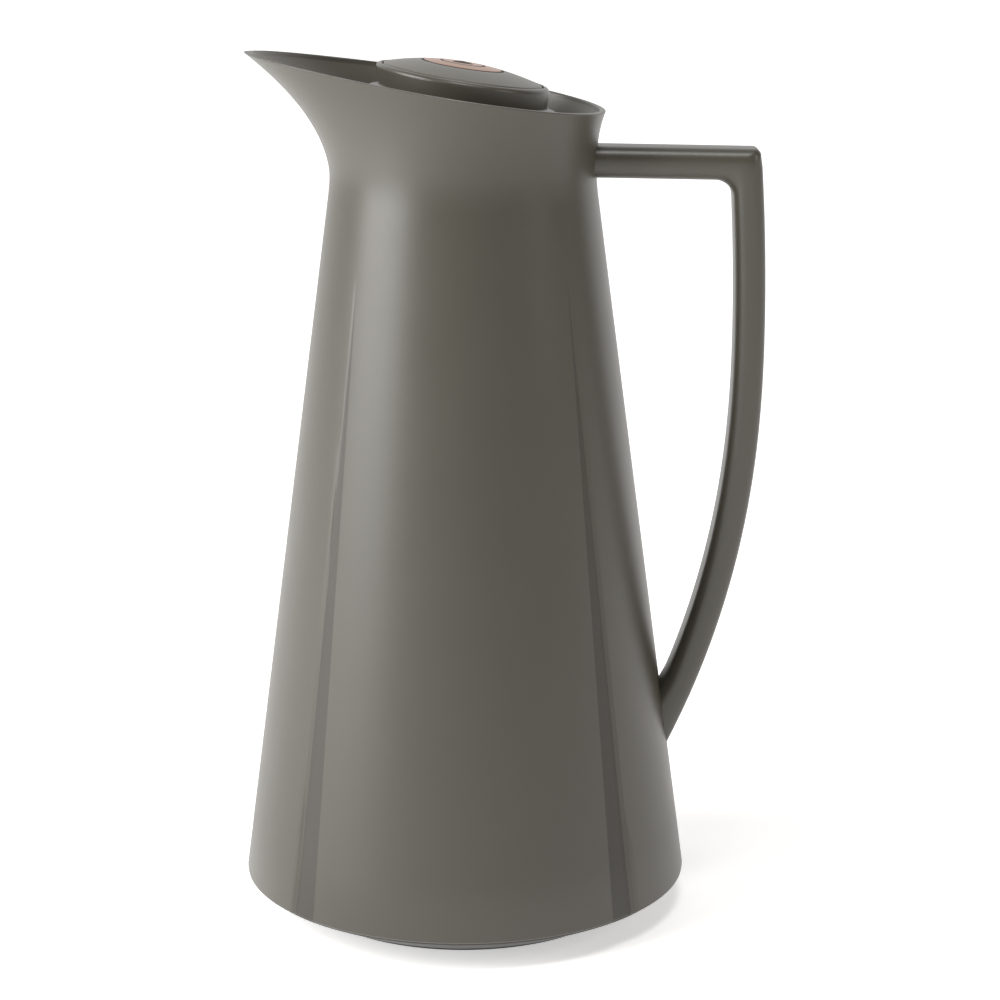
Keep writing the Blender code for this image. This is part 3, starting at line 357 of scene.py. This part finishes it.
for vertex in liner_mesh.verts:
    x, y, z = vertex.co / MM
    theta = crowded(math.atan2(-y, -x))
    radius = math.hypot(x, y)
    if z > WALL_MARK - 1:
        top = WAIST_HEIGHT + LINER_TOP * (rim_height(theta) - WAIST_HEIGHT)
        share = (z - WALL_MARK) / 100
        vertex.co = shell_point(theta, FLOOR_EDGE + (top - FLOOR_EDGE) * share, TUBE - radius)
    else:
        vertex.co = Vector((-radius * math.cos(theta), -radius * math.sin(theta), z)) * MM

# The same ABS a shade lighter, as painted light, so the inside of the mouth doesn't sink into black.
liner_abs_painted_light = moulded("warm grey satin ABS of the mouth", "59564e", 0.42, 0.10)
mouth_liner = as_object("mouth_funnel_skin", liner_mesh, liner_abs_painted_light)
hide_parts("mouth_funnel")
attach(mouth_liner, "jug")

# ---------------------------------------------------------------- handle and its screws
# Moulded ABS handle of rounded rectangular section: a straight arm from the waist, a tight
# corner, and a blade that curves down into the cone. Screws from inside hold both ends.
HANDLE_THICKNESS = 10.5
HANDLE_HALF_WIDTH = 9.0
HANDLE_ROUND = 4.4
HANDLE_REACH = 103.4      # at the blade's belly
BELLY = 207.5
TOP_FALL = 1.46           # how far the blade falls in above its belly, over this run
TOP_RUN = 46.2
FOOT_FALL = 11.7          # and below it, over this run
FOOT_RUN = 97.35
FOOT_POWER = 2.29
BLADE_FOOT = 46.0         # the blade ends here, behind the shell's wall
BLADE_STEPS = 56
ARM_TOP = 268.7
ARM_SLOPE = 0.018
ARM_ROOT = 1.5            # how far the arm starts inside the waist
ARM_PLAIN = 6.0           # the arm's first stretch, where its sections stand upright
CORNER_OUTER = 2.3
CORNER_INNER = 6.3
CORNER_DROP = 1.5         # from the inner corner's end down to the blade's first section
CROTCH = 4.0              # how far the fillet in the blade's crotch reaches


def grip_outer(height):
    """How far out the blade's outer line is."""
    if height > BELLY:
        return HANDLE_REACH - TOP_FALL * ((height - BELLY) / TOP_RUN) ** 2
    return HANDLE_REACH - FOOT_FALL * ((BELLY - height) / FOOT_RUN) ** FOOT_POWER


def grip_stations():
    """Pairs of (inner, outer) points along the handle, from the waist round to the blade's end."""
    corner_x = grip_outer(ARM_TOP)
    arm_top = ARM_TOP - ARM_SLOPE * (corner_x - WAIST_RADIUS)
    arm_bottom = arm_top - HANDLE_THICKNESS
    inner_x = grip_outer(arm_bottom - CORNER_INNER) - HANDLE_THICKNESS
    arm_end = inner_x - CORNER_INNER
    stretch = corner_x - CORNER_OUTER - arm_end
    pairs = []
    arm_run = arm_end - WAIST_RADIUS + ARM_ROOT
    for x in [WAIST_RADIUS - ARM_ROOT + arm_run * i / 6 for i in range(7)]:
        share = max(0, (x - WAIST_RADIUS - ARM_PLAIN) / (arm_end - WAIST_RADIUS - ARM_PLAIN))
        over = x + stretch * share
        pairs.append((Vector((x, 0, arm_bottom + ARM_SLOPE * (arm_end - x))),
                      Vector((over, 0, arm_top + ARM_SLOPE * (corner_x - CORNER_OUTER - over)))))
    for i in range(1, 13):
        turn = math.pi / 2 * (1 - i / 12)
        reach = Vector((math.cos(turn), 0, math.sin(turn)))
        pairs.append((Vector((arm_end, 0, arm_bottom - CORNER_INNER)) + reach * CORNER_INNER,
                      Vector((corner_x - CORNER_OUTER, 0, arm_top - CORNER_OUTER))
                      + reach * CORNER_OUTER))
    for drop in (0.25, 0.5, 0.75):
        outer_z = arm_top - CORNER_OUTER - drop * (HANDLE_THICKNESS + CORNER_INNER - CORNER_OUTER)
        inner_z = arm_bottom - CORNER_INNER - CORNER_DROP * drop
        pairs.append((Vector((grip_outer(inner_z) - HANDLE_THICKNESS, 0, inner_z)),
                      Vector((grip_outer(outer_z), 0, outer_z))))
    top = arm_bottom - CORNER_INNER - CORNER_DROP
    for i in range(BLADE_STEPS + 1):
        height = top + (BLADE_FOOT - top) * i / BLADE_STEPS
        lean = grip_outer(height + 0.5) - grip_outer(height - 0.5)
        outer = Vector((grip_outer(height), 0, height))
        inner = outer + Vector((-1, 0, lean)).normalized() * HANDLE_THICKNESS
        gap = inner.x - cone_radius(inner.z)
        if gap < CROTCH:
            inner.x -= (CROTCH - max(gap, -CROTCH)) ** 2 / (4 * CROTCH)
        pairs.append((inner, outer))
    return pairs


def section_matrix(inner, outer):
    """Places the section drawn across X (depth) and Y (width), in metres."""
    along = (outer - inner) / HANDLE_THICKNESS
    normal = Vector((0, 1, 0)).cross(along).normalized()
    centre = (inner + outer) / 2
    return Matrix((
        (along.x, 0, -normal.x, centre.x * MM), (0, 1, 0, 0),
        (along.z, 0, -normal.z, centre.z * MM), (0, 0, 0, 1)))


def rounded_section(mesh):
    """The handle's section as one face."""
    made = bmesh.ops.create_grid(mesh, x_segments=1, y_segments=1, size=0.5)
    bmesh.ops.scale(mesh, verts=made["verts"],
                    vec=(HANDLE_THICKNESS * MM, 2 * HANDLE_HALF_WIDTH * MM, 1))
    bmesh.ops.bevel(mesh, geom=mesh.verts[:], offset=HANDLE_ROUND * MM, offset_type="OFFSET",
                    segments=7, profile=0.5, affect="VERTICES", material=-1)


def sweep(mesh, matrices):
    """Extrudes the mesh's one face from each place to the next."""
    face = mesh.faces[:][0]
    outline = [vertex.co.copy() for vertex in face.verts]
    bmesh.ops.transform(mesh, matrix=matrices[0], verts=face.verts)
    for matrix in matrices[1:]:
        made = bmesh.ops.extrude_discrete_faces(mesh, faces=[face])
        face = made["faces"][0]
        for vertex, place in zip(face.verts, outline):
            vertex.co = matrix @ place


def drawn_steel(name, colour, roughness):
    """Bright stainless bar or wire: fine drawing marks run along Z, 0.1 mm apart, under an even
    gloss."""
    material = bpy.data.materials.new(name)
    material.use_nodes = True
    shader = material.node_tree.nodes["Principled BSDF"]
    place = add_node(material, "TexCoord").outputs["Object"]
    stretched = add_node(material, "Mapping", inputs={"Vector": place, "Scale": (1, 1, 0.05)})
    marks = add_node(material, "TexNoise", inputs={"Vector": stretched.outputs["Vector"],
                                                   "Scale": 9000.0, "Detail": 2.0})
    gloss = add_node(material, "MapRange", inputs={
        "Value": marks.outputs["Fac"], "To Min": roughness - 0.06, "To Max": roughness + 0.08})
    bump = add_node(material, "Bump", inputs={"Height": marks.outputs["Fac"], "Strength": 0.15,
                                              "Distance": 0.02 * MM})
    value = add_node(material, "MapRange", inputs={"Value": marks.outputs["Fac"], "To Min": 0.94,
                                                   "To Max": 1.06})
    tint = add_node(material, "HueSaturation", inputs={"Color": linear(colour),
                                                       "Value": value.outputs["Result"]})
    shader.inputs["Metallic"].default_value = 1.0
    links = material.node_tree.links
    links.new(tint.outputs["Color"], shader.inputs["Base Color"])
    links.new(gloss.outputs["Result"], shader.inputs["Roughness"])
    links.new(bump.outputs["Normal"], shader.inputs["Normal"])
    return material


def dress(material, *names):
    """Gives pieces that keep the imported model's own shape a material."""
    for name in names:
        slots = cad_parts[name].data.materials
        slots.clear()
        slots.append(material)


handle_mesh = bmesh.new()
rounded_section(handle_mesh)
sweep(handle_mesh, [section_matrix(*pair) for pair in grip_stations()])
bmesh.ops.remove_doubles(handle_mesh, verts=handle_mesh.verts, dist=0.00001)
# The shell's ABS, whose crowned faces carry a soft light line. The steel screws are bright.
handle_abs = moulded("warm grey satin ABS of the handle", SHELL_GREY, 0.38, 0.10)
handle = as_object("handle_skin", handle_mesh, handle_abs)
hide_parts("handle")
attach(handle, "jug")
stainless = drawn_steel("stainless steel, drawn", "b4b4b1", 0.26)
dress(stainless, "handle_screw_upper", "handle_screw_lower")

# ---------------------------------------------------------------- flask and its holders
# Double flask of blown borosilicate glass, silvered between its walls, with felt pads that keep
# them apart. A silicone ring seals its lip, and a rubber cup carries its foot.


def blown_glass(name, colour, roughness, metallic, clearness):
    """Blown glass: smooth, with slow waves about 12 mm long in its surface."""
    material = bpy.data.materials.new(name)
    material.use_nodes = True
    shader = material.node_tree.nodes["Principled BSDF"]
    place = add_node(material, "TexCoord").outputs["Object"]
    waves = add_node(material, "TexNoise", inputs={"Vector": place, "Scale": 80.0, "Detail": 1.0})
    gloss = add_node(material, "MapRange", inputs={
        "Value": waves.outputs["Fac"], "To Min": roughness, "To Max": roughness + 0.06})
    bump = add_node(material, "Bump", inputs={"Height": waves.outputs["Fac"], "Strength": 0.2,
                                              "Distance": 0.3 * MM})
    value = add_node(material, "MapRange", inputs={"Value": waves.outputs["Fac"], "To Min": 0.95,
                                                   "To Max": 1.05})
    tint = add_node(material, "HueSaturation", inputs={"Color": linear(colour),
                                                       "Value": value.outputs["Result"]})
    shader.inputs["Metallic"].default_value = metallic
    shader.inputs["IOR"].default_value = 1.47
    shader.inputs["Transmission Weight"].default_value = clearness
    links = material.node_tree.links
    links.new(tint.outputs["Color"], shader.inputs["Base Color"])
    links.new(gloss.outputs["Result"], shader.inputs["Roughness"])
    links.new(bump.outputs["Normal"], shader.inputs["Normal"])
    return material


# Glass is bright and wet-looking, and its silvered wall a mirror behind it. Silicone is pale and
# dull, felt has no shine at all, and the cup's rubber is nearly black.
dress(blown_glass("clear borosilicate glass", "e4ebe9", 0.02, 0.0, 0.85), "flask_inner")
dress(blown_glass("silvered glass", "c9cbca", 0.08, 1.0, 0.0), "flask_outer")
dress(moulded("glass-fibre felt", "cfc8b8", 0.9, 1.0),
      "spacer_pad_1", "spacer_pad_2", "spacer_pad_3")
dress(moulded("black rubber of the cup", "232220", 0.7, 0.35), "flask_cup")
silicone = moulded("grey silicone rubber", "b3b1aa", 0.5, 0.15)
dress(silicone, "neck_seal")

# ---------------------------------------------------------------- base cap and foot pad
# Dark polypropylene cap that screws up into the shell's lower end and holds the flask. It slopes
# in under the shell, and a flat rubber pad is glued into its underside.
FOOT_RADIUS = 57.8
PAD_THICKNESS = 3.0
PAD_POCKET = FOOT_RADIUS + 0.3
POCKET_TOP = PAD_THICKNESS + 0.3
FOOT_EDGE = 1.2           # the cap ends this far above the table
BRIM = BASE_RADIUS - 2.3
CAP_TOP = EDGE_HEIGHT - 0.3
COLLAR_TOP = 24.0
COLLAR_WALL = 2.4
COLLAR = cone_radius(COLLAR_TOP) - SHELL_WALL * 1.01 - 0.4

cap_mesh = spun([
    (0, POCKET_TOP), (PAD_POCKET, POCKET_TOP), (PAD_POCKET, FOOT_EDGE),
    (PAD_POCKET + 1.2, FOOT_EDGE), (PAD_POCKET + 9.5, 5.2), (BRIM, CAP_TOP - 0.8),
    (BRIM, CAP_TOP), (COLLAR, CAP_TOP), (COLLAR, COLLAR_TOP),
    (COLLAR - COLLAR_WALL, COLLAR_TOP), (COLLAR - COLLAR_WALL, CAP_TOP - 0.2),
    (PAD_POCKET + 1.5, 5.7), (0, 5.7),
], steps=160, roundings=((3, 0.5), (4, 3.0), (5, 0.3), (8, 0.5), (9, 0.5)))
# Polypropylene is a little waxier and darker than the shell's ABS.
moulded_pp = moulded("dark grey moulded PP", "35332f", 0.46, 0.12)
base_cap = as_object("base_cap_skin", cap_mesh, moulded_pp)
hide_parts("base_cap")
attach(base_cap, "jug")

pad_mesh = spun([(0, 0), (FOOT_RADIUS, 0), (FOOT_RADIUS, PAD_THICKNESS), (0, PAD_THICKNESS)],
                steps=128, roundings=((1, 0.5),))
# Rubber is nearly black, with a rough skin and hardly a reflection.
pad_rubber = moulded("black moulded rubber", "201f1d", 0.72, 0.4)
foot_pad = as_object("foot_pad_skin", pad_mesh, pad_rubber)
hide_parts("foot_pad")
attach(foot_pad, "jug")

# ---------------------------------------------------------------- stopper lid
# Moulded ABS ring whose rounded edge runs parallel to the mouth, with a wall that narrows to a
# drip flange and a level deck inside. It is pressed on the stopper's body.
LID_RADIUS = 29.4
LID_BORE = 27.3
LID_EDGE = RIM_BACK_HEIGHT + RIM_RADIUS * RIM_SLOPE + 3.6
LID_SLANT = math.tan(math.radians(8.9))
BODY_RADIUS = 26.8
DECK = 272.58
DECK_THICKNESS = 1.8
DECK_BORE = 2.8
FLANGE = 31.9


def slant(mesh, above):
    """Tips everything above a height parallel to the mouth."""
    for vertex in mesh.verts:
        if vertex.co.z > above * MM:
            vertex.co.z -= vertex.co.x * LID_SLANT


wall_foot = LID_EDGE - 6.8
deck_top = DECK + DECK_THICKNESS
lid_mesh = spun([
    (LID_BORE, LID_EDGE + 0.7), (LID_RADIUS, LID_EDGE + 0.25), (LID_RADIUS - 1.1, wall_foot),
    (FLANGE, wall_foot - 0.8), (FLANGE, wall_foot - 1.8), (BODY_RADIUS, wall_foot - 2.0),
    (BODY_RADIUS, DECK), (DECK_BORE, DECK), (DECK_BORE, deck_top), (BODY_RADIUS - 3.6, deck_top),
    (BODY_RADIUS - 3.6, LID_EDGE - 9.2), (LID_BORE, LID_EDGE - 7.4),
], steps=144, ring=True, roundings=((0, 0.4), (1, 1.3), (2, 0.8), (3, 0.4), (4, 0.4)))
slant(lid_mesh, deck_top + 0.5)
# The shell's ABS from a slightly finer tool, so its edge carries a brighter line.
lid_abs = moulded("warm grey satin ABS of the lid", "4b4840", 0.36, 0.08)
lid = as_object("stopper_lid_skin", lid_mesh, lid_abs)
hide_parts("stopper_lid")
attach(lid, "stopper")

# ---------------------------------------------------------------- stopper body and its seals
# Hollow polypropylene plug with windows for the drink, pressed into the lid, and grey silicone
# rings that seal it in the bore and the flask. They show when the stopper is drawn.
dress(moulded("dark grey PP of the stopper's body", "403e39", 0.44, 0.12), "stopper_body")
dress(silicone, "lip_seal", "plug_seal", "stem_seal")

# ---------------------------------------------------------------- return spring
# Five turns of 0.7 mm stainless wire between the lid's deck and the button's boss. In the jug
# it shortens as the button goes down; here it keeps one length and rides with the stopper.
SPRING_FOOT = DECK + 2.45
SPRING_TOP = LID_EDGE - 8.45
SPRING_RADIUS = 4.4
SPRING_TURNS = 5
SPRING_STEPS = 140
WIRE_RADIUS = 0.35


def coil_place(share):
    """Where the wire is and which way it runs, at a share of its length."""
    turn = math.tau * SPRING_TURNS * share
    climb = (SPRING_TOP - SPRING_FOOT) / (math.tau * SPRING_TURNS * SPRING_RADIUS)
    ahead = Vector((-math.sin(turn), math.cos(turn), climb)).normalized()
    place = Vector((SPRING_RADIUS * math.cos(turn), SPRING_RADIUS * math.sin(turn),
                    SPRING_FOOT + (SPRING_TOP - SPRING_FOOT) * share))
    return Matrix.Translation(place * MM) @ ahead.to_track_quat("Z", "Y").to_matrix().to_4x4()


spring_mesh = bmesh.new()
bmesh.ops.create_circle(spring_mesh, cap_ends=True, segments=10, radius=WIRE_RADIUS * MM)
sweep(spring_mesh, [coil_place(i / SPRING_STEPS) for i in range(SPRING_STEPS + 1)])
spring = as_object("return_spring_skin", spring_mesh, stainless)
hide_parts("return_spring")
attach(spring, "stopper")
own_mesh(spring)

# ---------------------------------------------------------------- push button
# Domed ABS button that fills the lid's ring with a fine dark gap around it. A skirt slides in
# the lid, and a boss under the dome takes the valve's stem.
BUTTON_RADIUS = 26.85
SKIRT_RADIUS = BUTTON_RADIUS - 1.8
SKIRT_DEPTH = 3.1
BOSS_RADIUS = 5.6
BOSS_BORE = 2.8
BOSS_DEPTH = 7.8
BADGE_RADIUS = 13.6
BADGE_POCKET = BADGE_RADIUS + 0.3
POCKET_DEPTH = 1.1


def dome(radius):
    """Height of the button's top at a radius, before it is tipped."""
    return LID_EDGE + 4.8 - 4.2 * (radius / LID_BORE) ** 2


button_profile = [(r, dome(r) - POCKET_DEPTH) for r in (0, 5, 10, BADGE_POCKET)]
button_profile += [(r, dome(r)) for r in (BADGE_POCKET, 16, 18.5, 21, 23.5, 25.4, BUTTON_RADIUS)]
button_profile += [
    (BUTTON_RADIUS, LID_EDGE - SKIRT_DEPTH), (SKIRT_RADIUS, LID_EDGE - SKIRT_DEPTH),
    (SKIRT_RADIUS, LID_EDGE - 1.6), (BOSS_RADIUS, LID_EDGE - 0.2),
    (BOSS_RADIUS, LID_EDGE - BOSS_DEPTH), (BOSS_BORE, LID_EDGE - BOSS_DEPTH),
    (BOSS_BORE, LID_EDGE + 1.5), (0, LID_EDGE + 1.5)]
button_mesh = spun(button_profile, steps=144,
                   roundings=((4, 0.25), (10, 0.7), (11, 0.3), (12, 0.3)))
slant(button_mesh, LID_EDGE - 6.8)
# The shell's ABS, a shade lighter, with the softbox as one wide patch on the dome.
button_abs = moulded("warm grey satin ABS of the button", "56534a", 0.40, 0.10)
button = as_object("push_button_skin", button_mesh, button_abs)
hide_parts("push_button")
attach(button, "button")

# ---------------------------------------------------------------- badge
# Thin copper disc glued in the button's pocket, brushed in rings. A plain ring round a drop is
# etched in it; the etched lines and the disc's rim are dark brown, which is painted shade.
BADGE_THICKNESS = 0.8
GAP_SHADE_WIDTH = 0.5          # width of the painted shade line round the disc, over the gap to the pocket
MARK_RADIUS = 7.2
MARK_LINE = 0.45          # half the width of the ring's line
DROP_HALF_WIDTH = 3.4
DROP_HALF_LENGTH = 4.6
BRUSH_SCALE = 5200.0      # brushing marks 0.2 mm apart

# Brushed copper: warm, with a soft streak of light across the rings, and dull brown painted shade in
# the mark and round the rim.
copper = bpy.data.materials.new("copper brushed in rings, engraved mark in painted shade")
copper.use_nodes = True
copper_shader = copper.node_tree.nodes["Principled BSDF"]
copper_links = copper.node_tree.links


def reckon(material, operation, *values):
    """A Math node, fed by sockets or numbers, and its result."""
    inputs = dict(enumerate(values))
    return add_node(material, "Math", {"operation": operation}, inputs).outputs[0]


badge_place = add_node(copper, "TexCoord").outputs["Object"]
badge_axes = add_node(copper, "SeparateXYZ", inputs={"Vector": badge_place})
flat_place = add_node(copper, "CombineXYZ", inputs={"X": badge_axes.outputs["X"],
                                                    "Y": badge_axes.outputs["Y"]})
from_axis = add_node(copper, "VectorMath", {"operation": "LENGTH"},
                     {"Vector": flat_place.outputs["Vector"]}).outputs["Value"]
brushing = add_node(copper, "TexNoise", {"noise_dimensions": "1D"},
                    {"W": from_axis, "Scale": BRUSH_SCALE, "Detail": 4.0})
from_ring = reckon(copper, "ABSOLUTE", reckon(copper, "SUBTRACT", from_axis, MARK_RADIUS * MM))
ring_line = reckon(copper, "LESS_THAN", from_ring, MARK_LINE * MM)
# The drop is the curve (x/a)^2 = (1 - t)^3 (1 + t) / 1.69, where t runs from its foot to its tip.
along = reckon(copper, "DIVIDE", badge_axes.outputs["Y"], DROP_HALF_LENGTH * MM)
aside = reckon(copper, "DIVIDE", badge_axes.outputs["X"], DROP_HALF_WIDTH * MM)
taper = reckon(copper, "MULTIPLY",
               reckon(copper, "POWER", reckon(copper, "SUBTRACT", 1.0, along), 3.0),
               reckon(copper, "ADD", 1.0, along))
drop = reckon(copper, "LESS_THAN", reckon(copper, "MULTIPLY", aside, aside),
              reckon(copper, "DIVIDE", taper, 1.69))
in_drop = reckon(copper, "MULTIPLY", drop,
                 reckon(copper, "LESS_THAN", reckon(copper, "ABSOLUTE", along), 1.0))
# The dark line round the rim is painted shade of the gap between the disc and its pocket.
gap_shade_line = reckon(copper, "GREATER_THAN", from_axis, (BADGE_RADIUS - GAP_SHADE_WIDTH) * MM)
engraving_and_gap_shade = reckon(copper, "MAXIMUM", reckon(copper, "MAXIMUM", ring_line, in_drop), gap_shade_line)
copper_tint = add_node(copper, "ValToRGB", inputs={"Fac": brushing.outputs["Fac"]})
copper_tint.color_ramp.elements[0].position = 0.3
copper_tint.color_ramp.elements[0].color = linear("96705c")
copper_tint.color_ramp.elements[1].position = 0.7
copper_tint.color_ramp.elements[1].color = linear("b08b74")
# The engraving and the rim are painted dark brown as shade.
engraving_shade_colour = add_node(copper, "Mix", {"data_type": "RGBA"}, {"Factor": engraving_and_gap_shade})
copper_links.new(copper_tint.outputs["Color"], engraving_shade_colour.inputs["A"])
engraving_shade_colour.inputs["B"].default_value = linear("2c1d15")
metal = reckon(copper, "SUBTRACT", 1.0, engraving_and_gap_shade)
copper_gloss = add_node(copper, "MapRange", inputs={"Value": engraving_and_gap_shade, "To Min": 0.34,
                                                    "To Max": 0.7})
relief = reckon(copper, "SUBTRACT", reckon(copper, "MULTIPLY", brushing.outputs["Fac"], 0.12),
                engraving_and_gap_shade)
copper_bump = add_node(copper, "Bump", inputs={"Height": relief, "Strength": 0.6,
                                               "Distance": 0.12 * MM})
copper_links.new(engraving_shade_colour.outputs["Result"], copper_shader.inputs["Base Color"])
copper_links.new(metal, copper_shader.inputs["Metallic"])
copper_links.new(copper_gloss.outputs["Result"], copper_shader.inputs["Roughness"])
copper_links.new(copper_bump.outputs["Normal"], copper_shader.inputs["Normal"])

badge_profile = [(r, dome(r)) for r in (0, 3.4, 6.8, 10.2, BADGE_RADIUS)]
badge_profile += [(r, dome(r) - BADGE_THICKNESS) for r in (BADGE_RADIUS, 6.8, 0)]
badge_mesh = spun(badge_profile, steps=96, roundings=((4, 0.2),))
slant(badge_mesh, 0)
badge = as_object("badge_skin", badge_mesh, copper)
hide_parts("badge")
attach(badge, "button")

# ---------------------------------------------------------------- valve and latch
# Stainless stem from the button's boss down through the body, with a white POM disc screwed under
# it that closes on a silicone ring, and the POM ring that turns a step with each press.
dress(stainless, "valve_stem", "valve_screw")
dress(silicone, "valve_seal")
# Natural POM is off-white with a smooth, slightly greasy shine.
dress(moulded("natural white POM", "d8d6cf", 0.42, 0.12), "valve_disc", "latch_ring")

# ---------------------------------------------------------------- floor, light and camera
# A plain pale floor, one large soft light at the left, a weak one at the right and a bright
# surround behind, as in a small product studio.
FLOOR_RADIUS = 12.0       # the studio's own sizes are in metres
GLOW_START = 0.3          # the floor brightens from here, so that its far part has no horizon
GLOW_END = 1.4
FIBRE_SCALE = 700.0       # the board's fibres are about 1.5 mm apart
LENS = 101.54             # a long lens from just under a metre, a little above level
CAMERA_PLACE = (0.01252, -0.9584, 0.3781)
CAMERA_TILT = math.radians(76.3)

floor_mesh = bmesh.new()
bmesh.ops.create_circle(floor_mesh, cap_ends=True, segments=96, radius=FLOOR_RADIUS)
# White board: no gloss, and a faint fibre that only shows close by.
floor_paint = bpy.data.materials.new("matt white floor")
floor_paint.use_nodes = True
floor_shader = floor_paint.node_tree.nodes["Principled BSDF"]
floor_shader.inputs["Base Color"].default_value = linear("f4f3f1")
floor_shader.inputs["Roughness"].default_value = 1.0
floor_shader.inputs["Specular IOR Level"].default_value = 0.0
floor_shader.inputs["Emission Color"].default_value = (1, 1, 1, 1)
floor_place = add_node(floor_paint, "TexCoord").outputs["Object"]
floor_distance = add_node(floor_paint, "VectorMath", {"operation": "LENGTH"},
                          {"Vector": floor_place}).outputs["Value"]
floor_glow = add_node(floor_paint, "MapRange", inputs={
    "Value": floor_distance, "From Min": GLOW_START, "From Max": GLOW_END, "To Min": 0.5,
    "To Max": 0.95})
floor_fibres = add_node(floor_paint, "TexNoise", inputs={
    "Vector": floor_place, "Scale": FIBRE_SCALE, "Detail": 3.0})
floor_bump = add_node(floor_paint, "Bump", inputs={"Height": floor_fibres.outputs["Fac"],
                                                   "Strength": 0.1, "Distance": 0.1 * MM})
floor_links = floor_paint.node_tree.links
floor_links.new(floor_glow.outputs["Result"], floor_shader.inputs["Emission Strength"])
floor_links.new(floor_bump.outputs["Normal"], floor_shader.inputs["Normal"])
floor = as_object("studio_floor", floor_mesh, floor_paint)


def area_light(name, place, target, size, power, colour):
    """A rectangular softbox that faces the target."""
    light = bpy.data.lights.new(name, "AREA")
    light.shape = "RECTANGLE"
    light.size, light.size_y = size
    light.energy = power
    light.color = linear(colour)[:3]
    lamp = bpy.data.objects.new(name, light)
    lamp.location = place
    lamp.rotation_euler = (Vector(target) - Vector(place)).to_track_quat("-Z", "Y").to_euler()
    bpy.context.scene.collection.objects.link(lamp)


area_light("key softbox", (-1.36, -0.52, 0.78), (0, 0, 0.18), (1.2, 1.3), 41.0, "ffffff")
area_light("top softbox", (0.15, -0.4, 1.4), (0, 0, 0.28), (0.4, 0.4), 6.0, "ffffff")
area_light("fill strip", (1.28, -0.57, 0.85), (0, 0, 0.28), (0.16, 0.6), 3.6, "fff4e6")

# The surround is bright behind the jug and dark in front of it.
world = bpy.data.worlds.new("studio surround")
world.use_nodes = True
backdrop = world.node_tree.nodes["Background"]
backdrop.inputs["Color"].default_value = (1, 1, 1, 1)
direction = add_node(world, "SeparateXYZ", inputs={
    "Vector": add_node(world, "TexCoord").outputs["Generated"]})
fade = add_node(world, "MapRange", {"interpolation_type": "SMOOTHSTEP"}, {
    "Value": direction.outputs["Y"], "From Min": 0.1, "From Max": 0.85, "To Min": 0.03,
    "To Max": 1.05})
world.node_tree.links.new(fade.outputs["Result"], backdrop.inputs["Strength"])
bpy.context.scene.world = world
bpy.context.scene.view_settings.view_transform = "Standard"

camera_data = bpy.data.cameras.new("product camera")
camera_data.lens = LENS
camera_data.sensor_width = 36
camera = bpy.data.objects.new("product camera", camera_data)
camera.location = CAMERA_PLACE
camera.rotation_euler = (CAMERA_TILT, 0, 0)
bpy.context.scene.collection.objects.link(camera)
bpy.context.scene.camera = camera
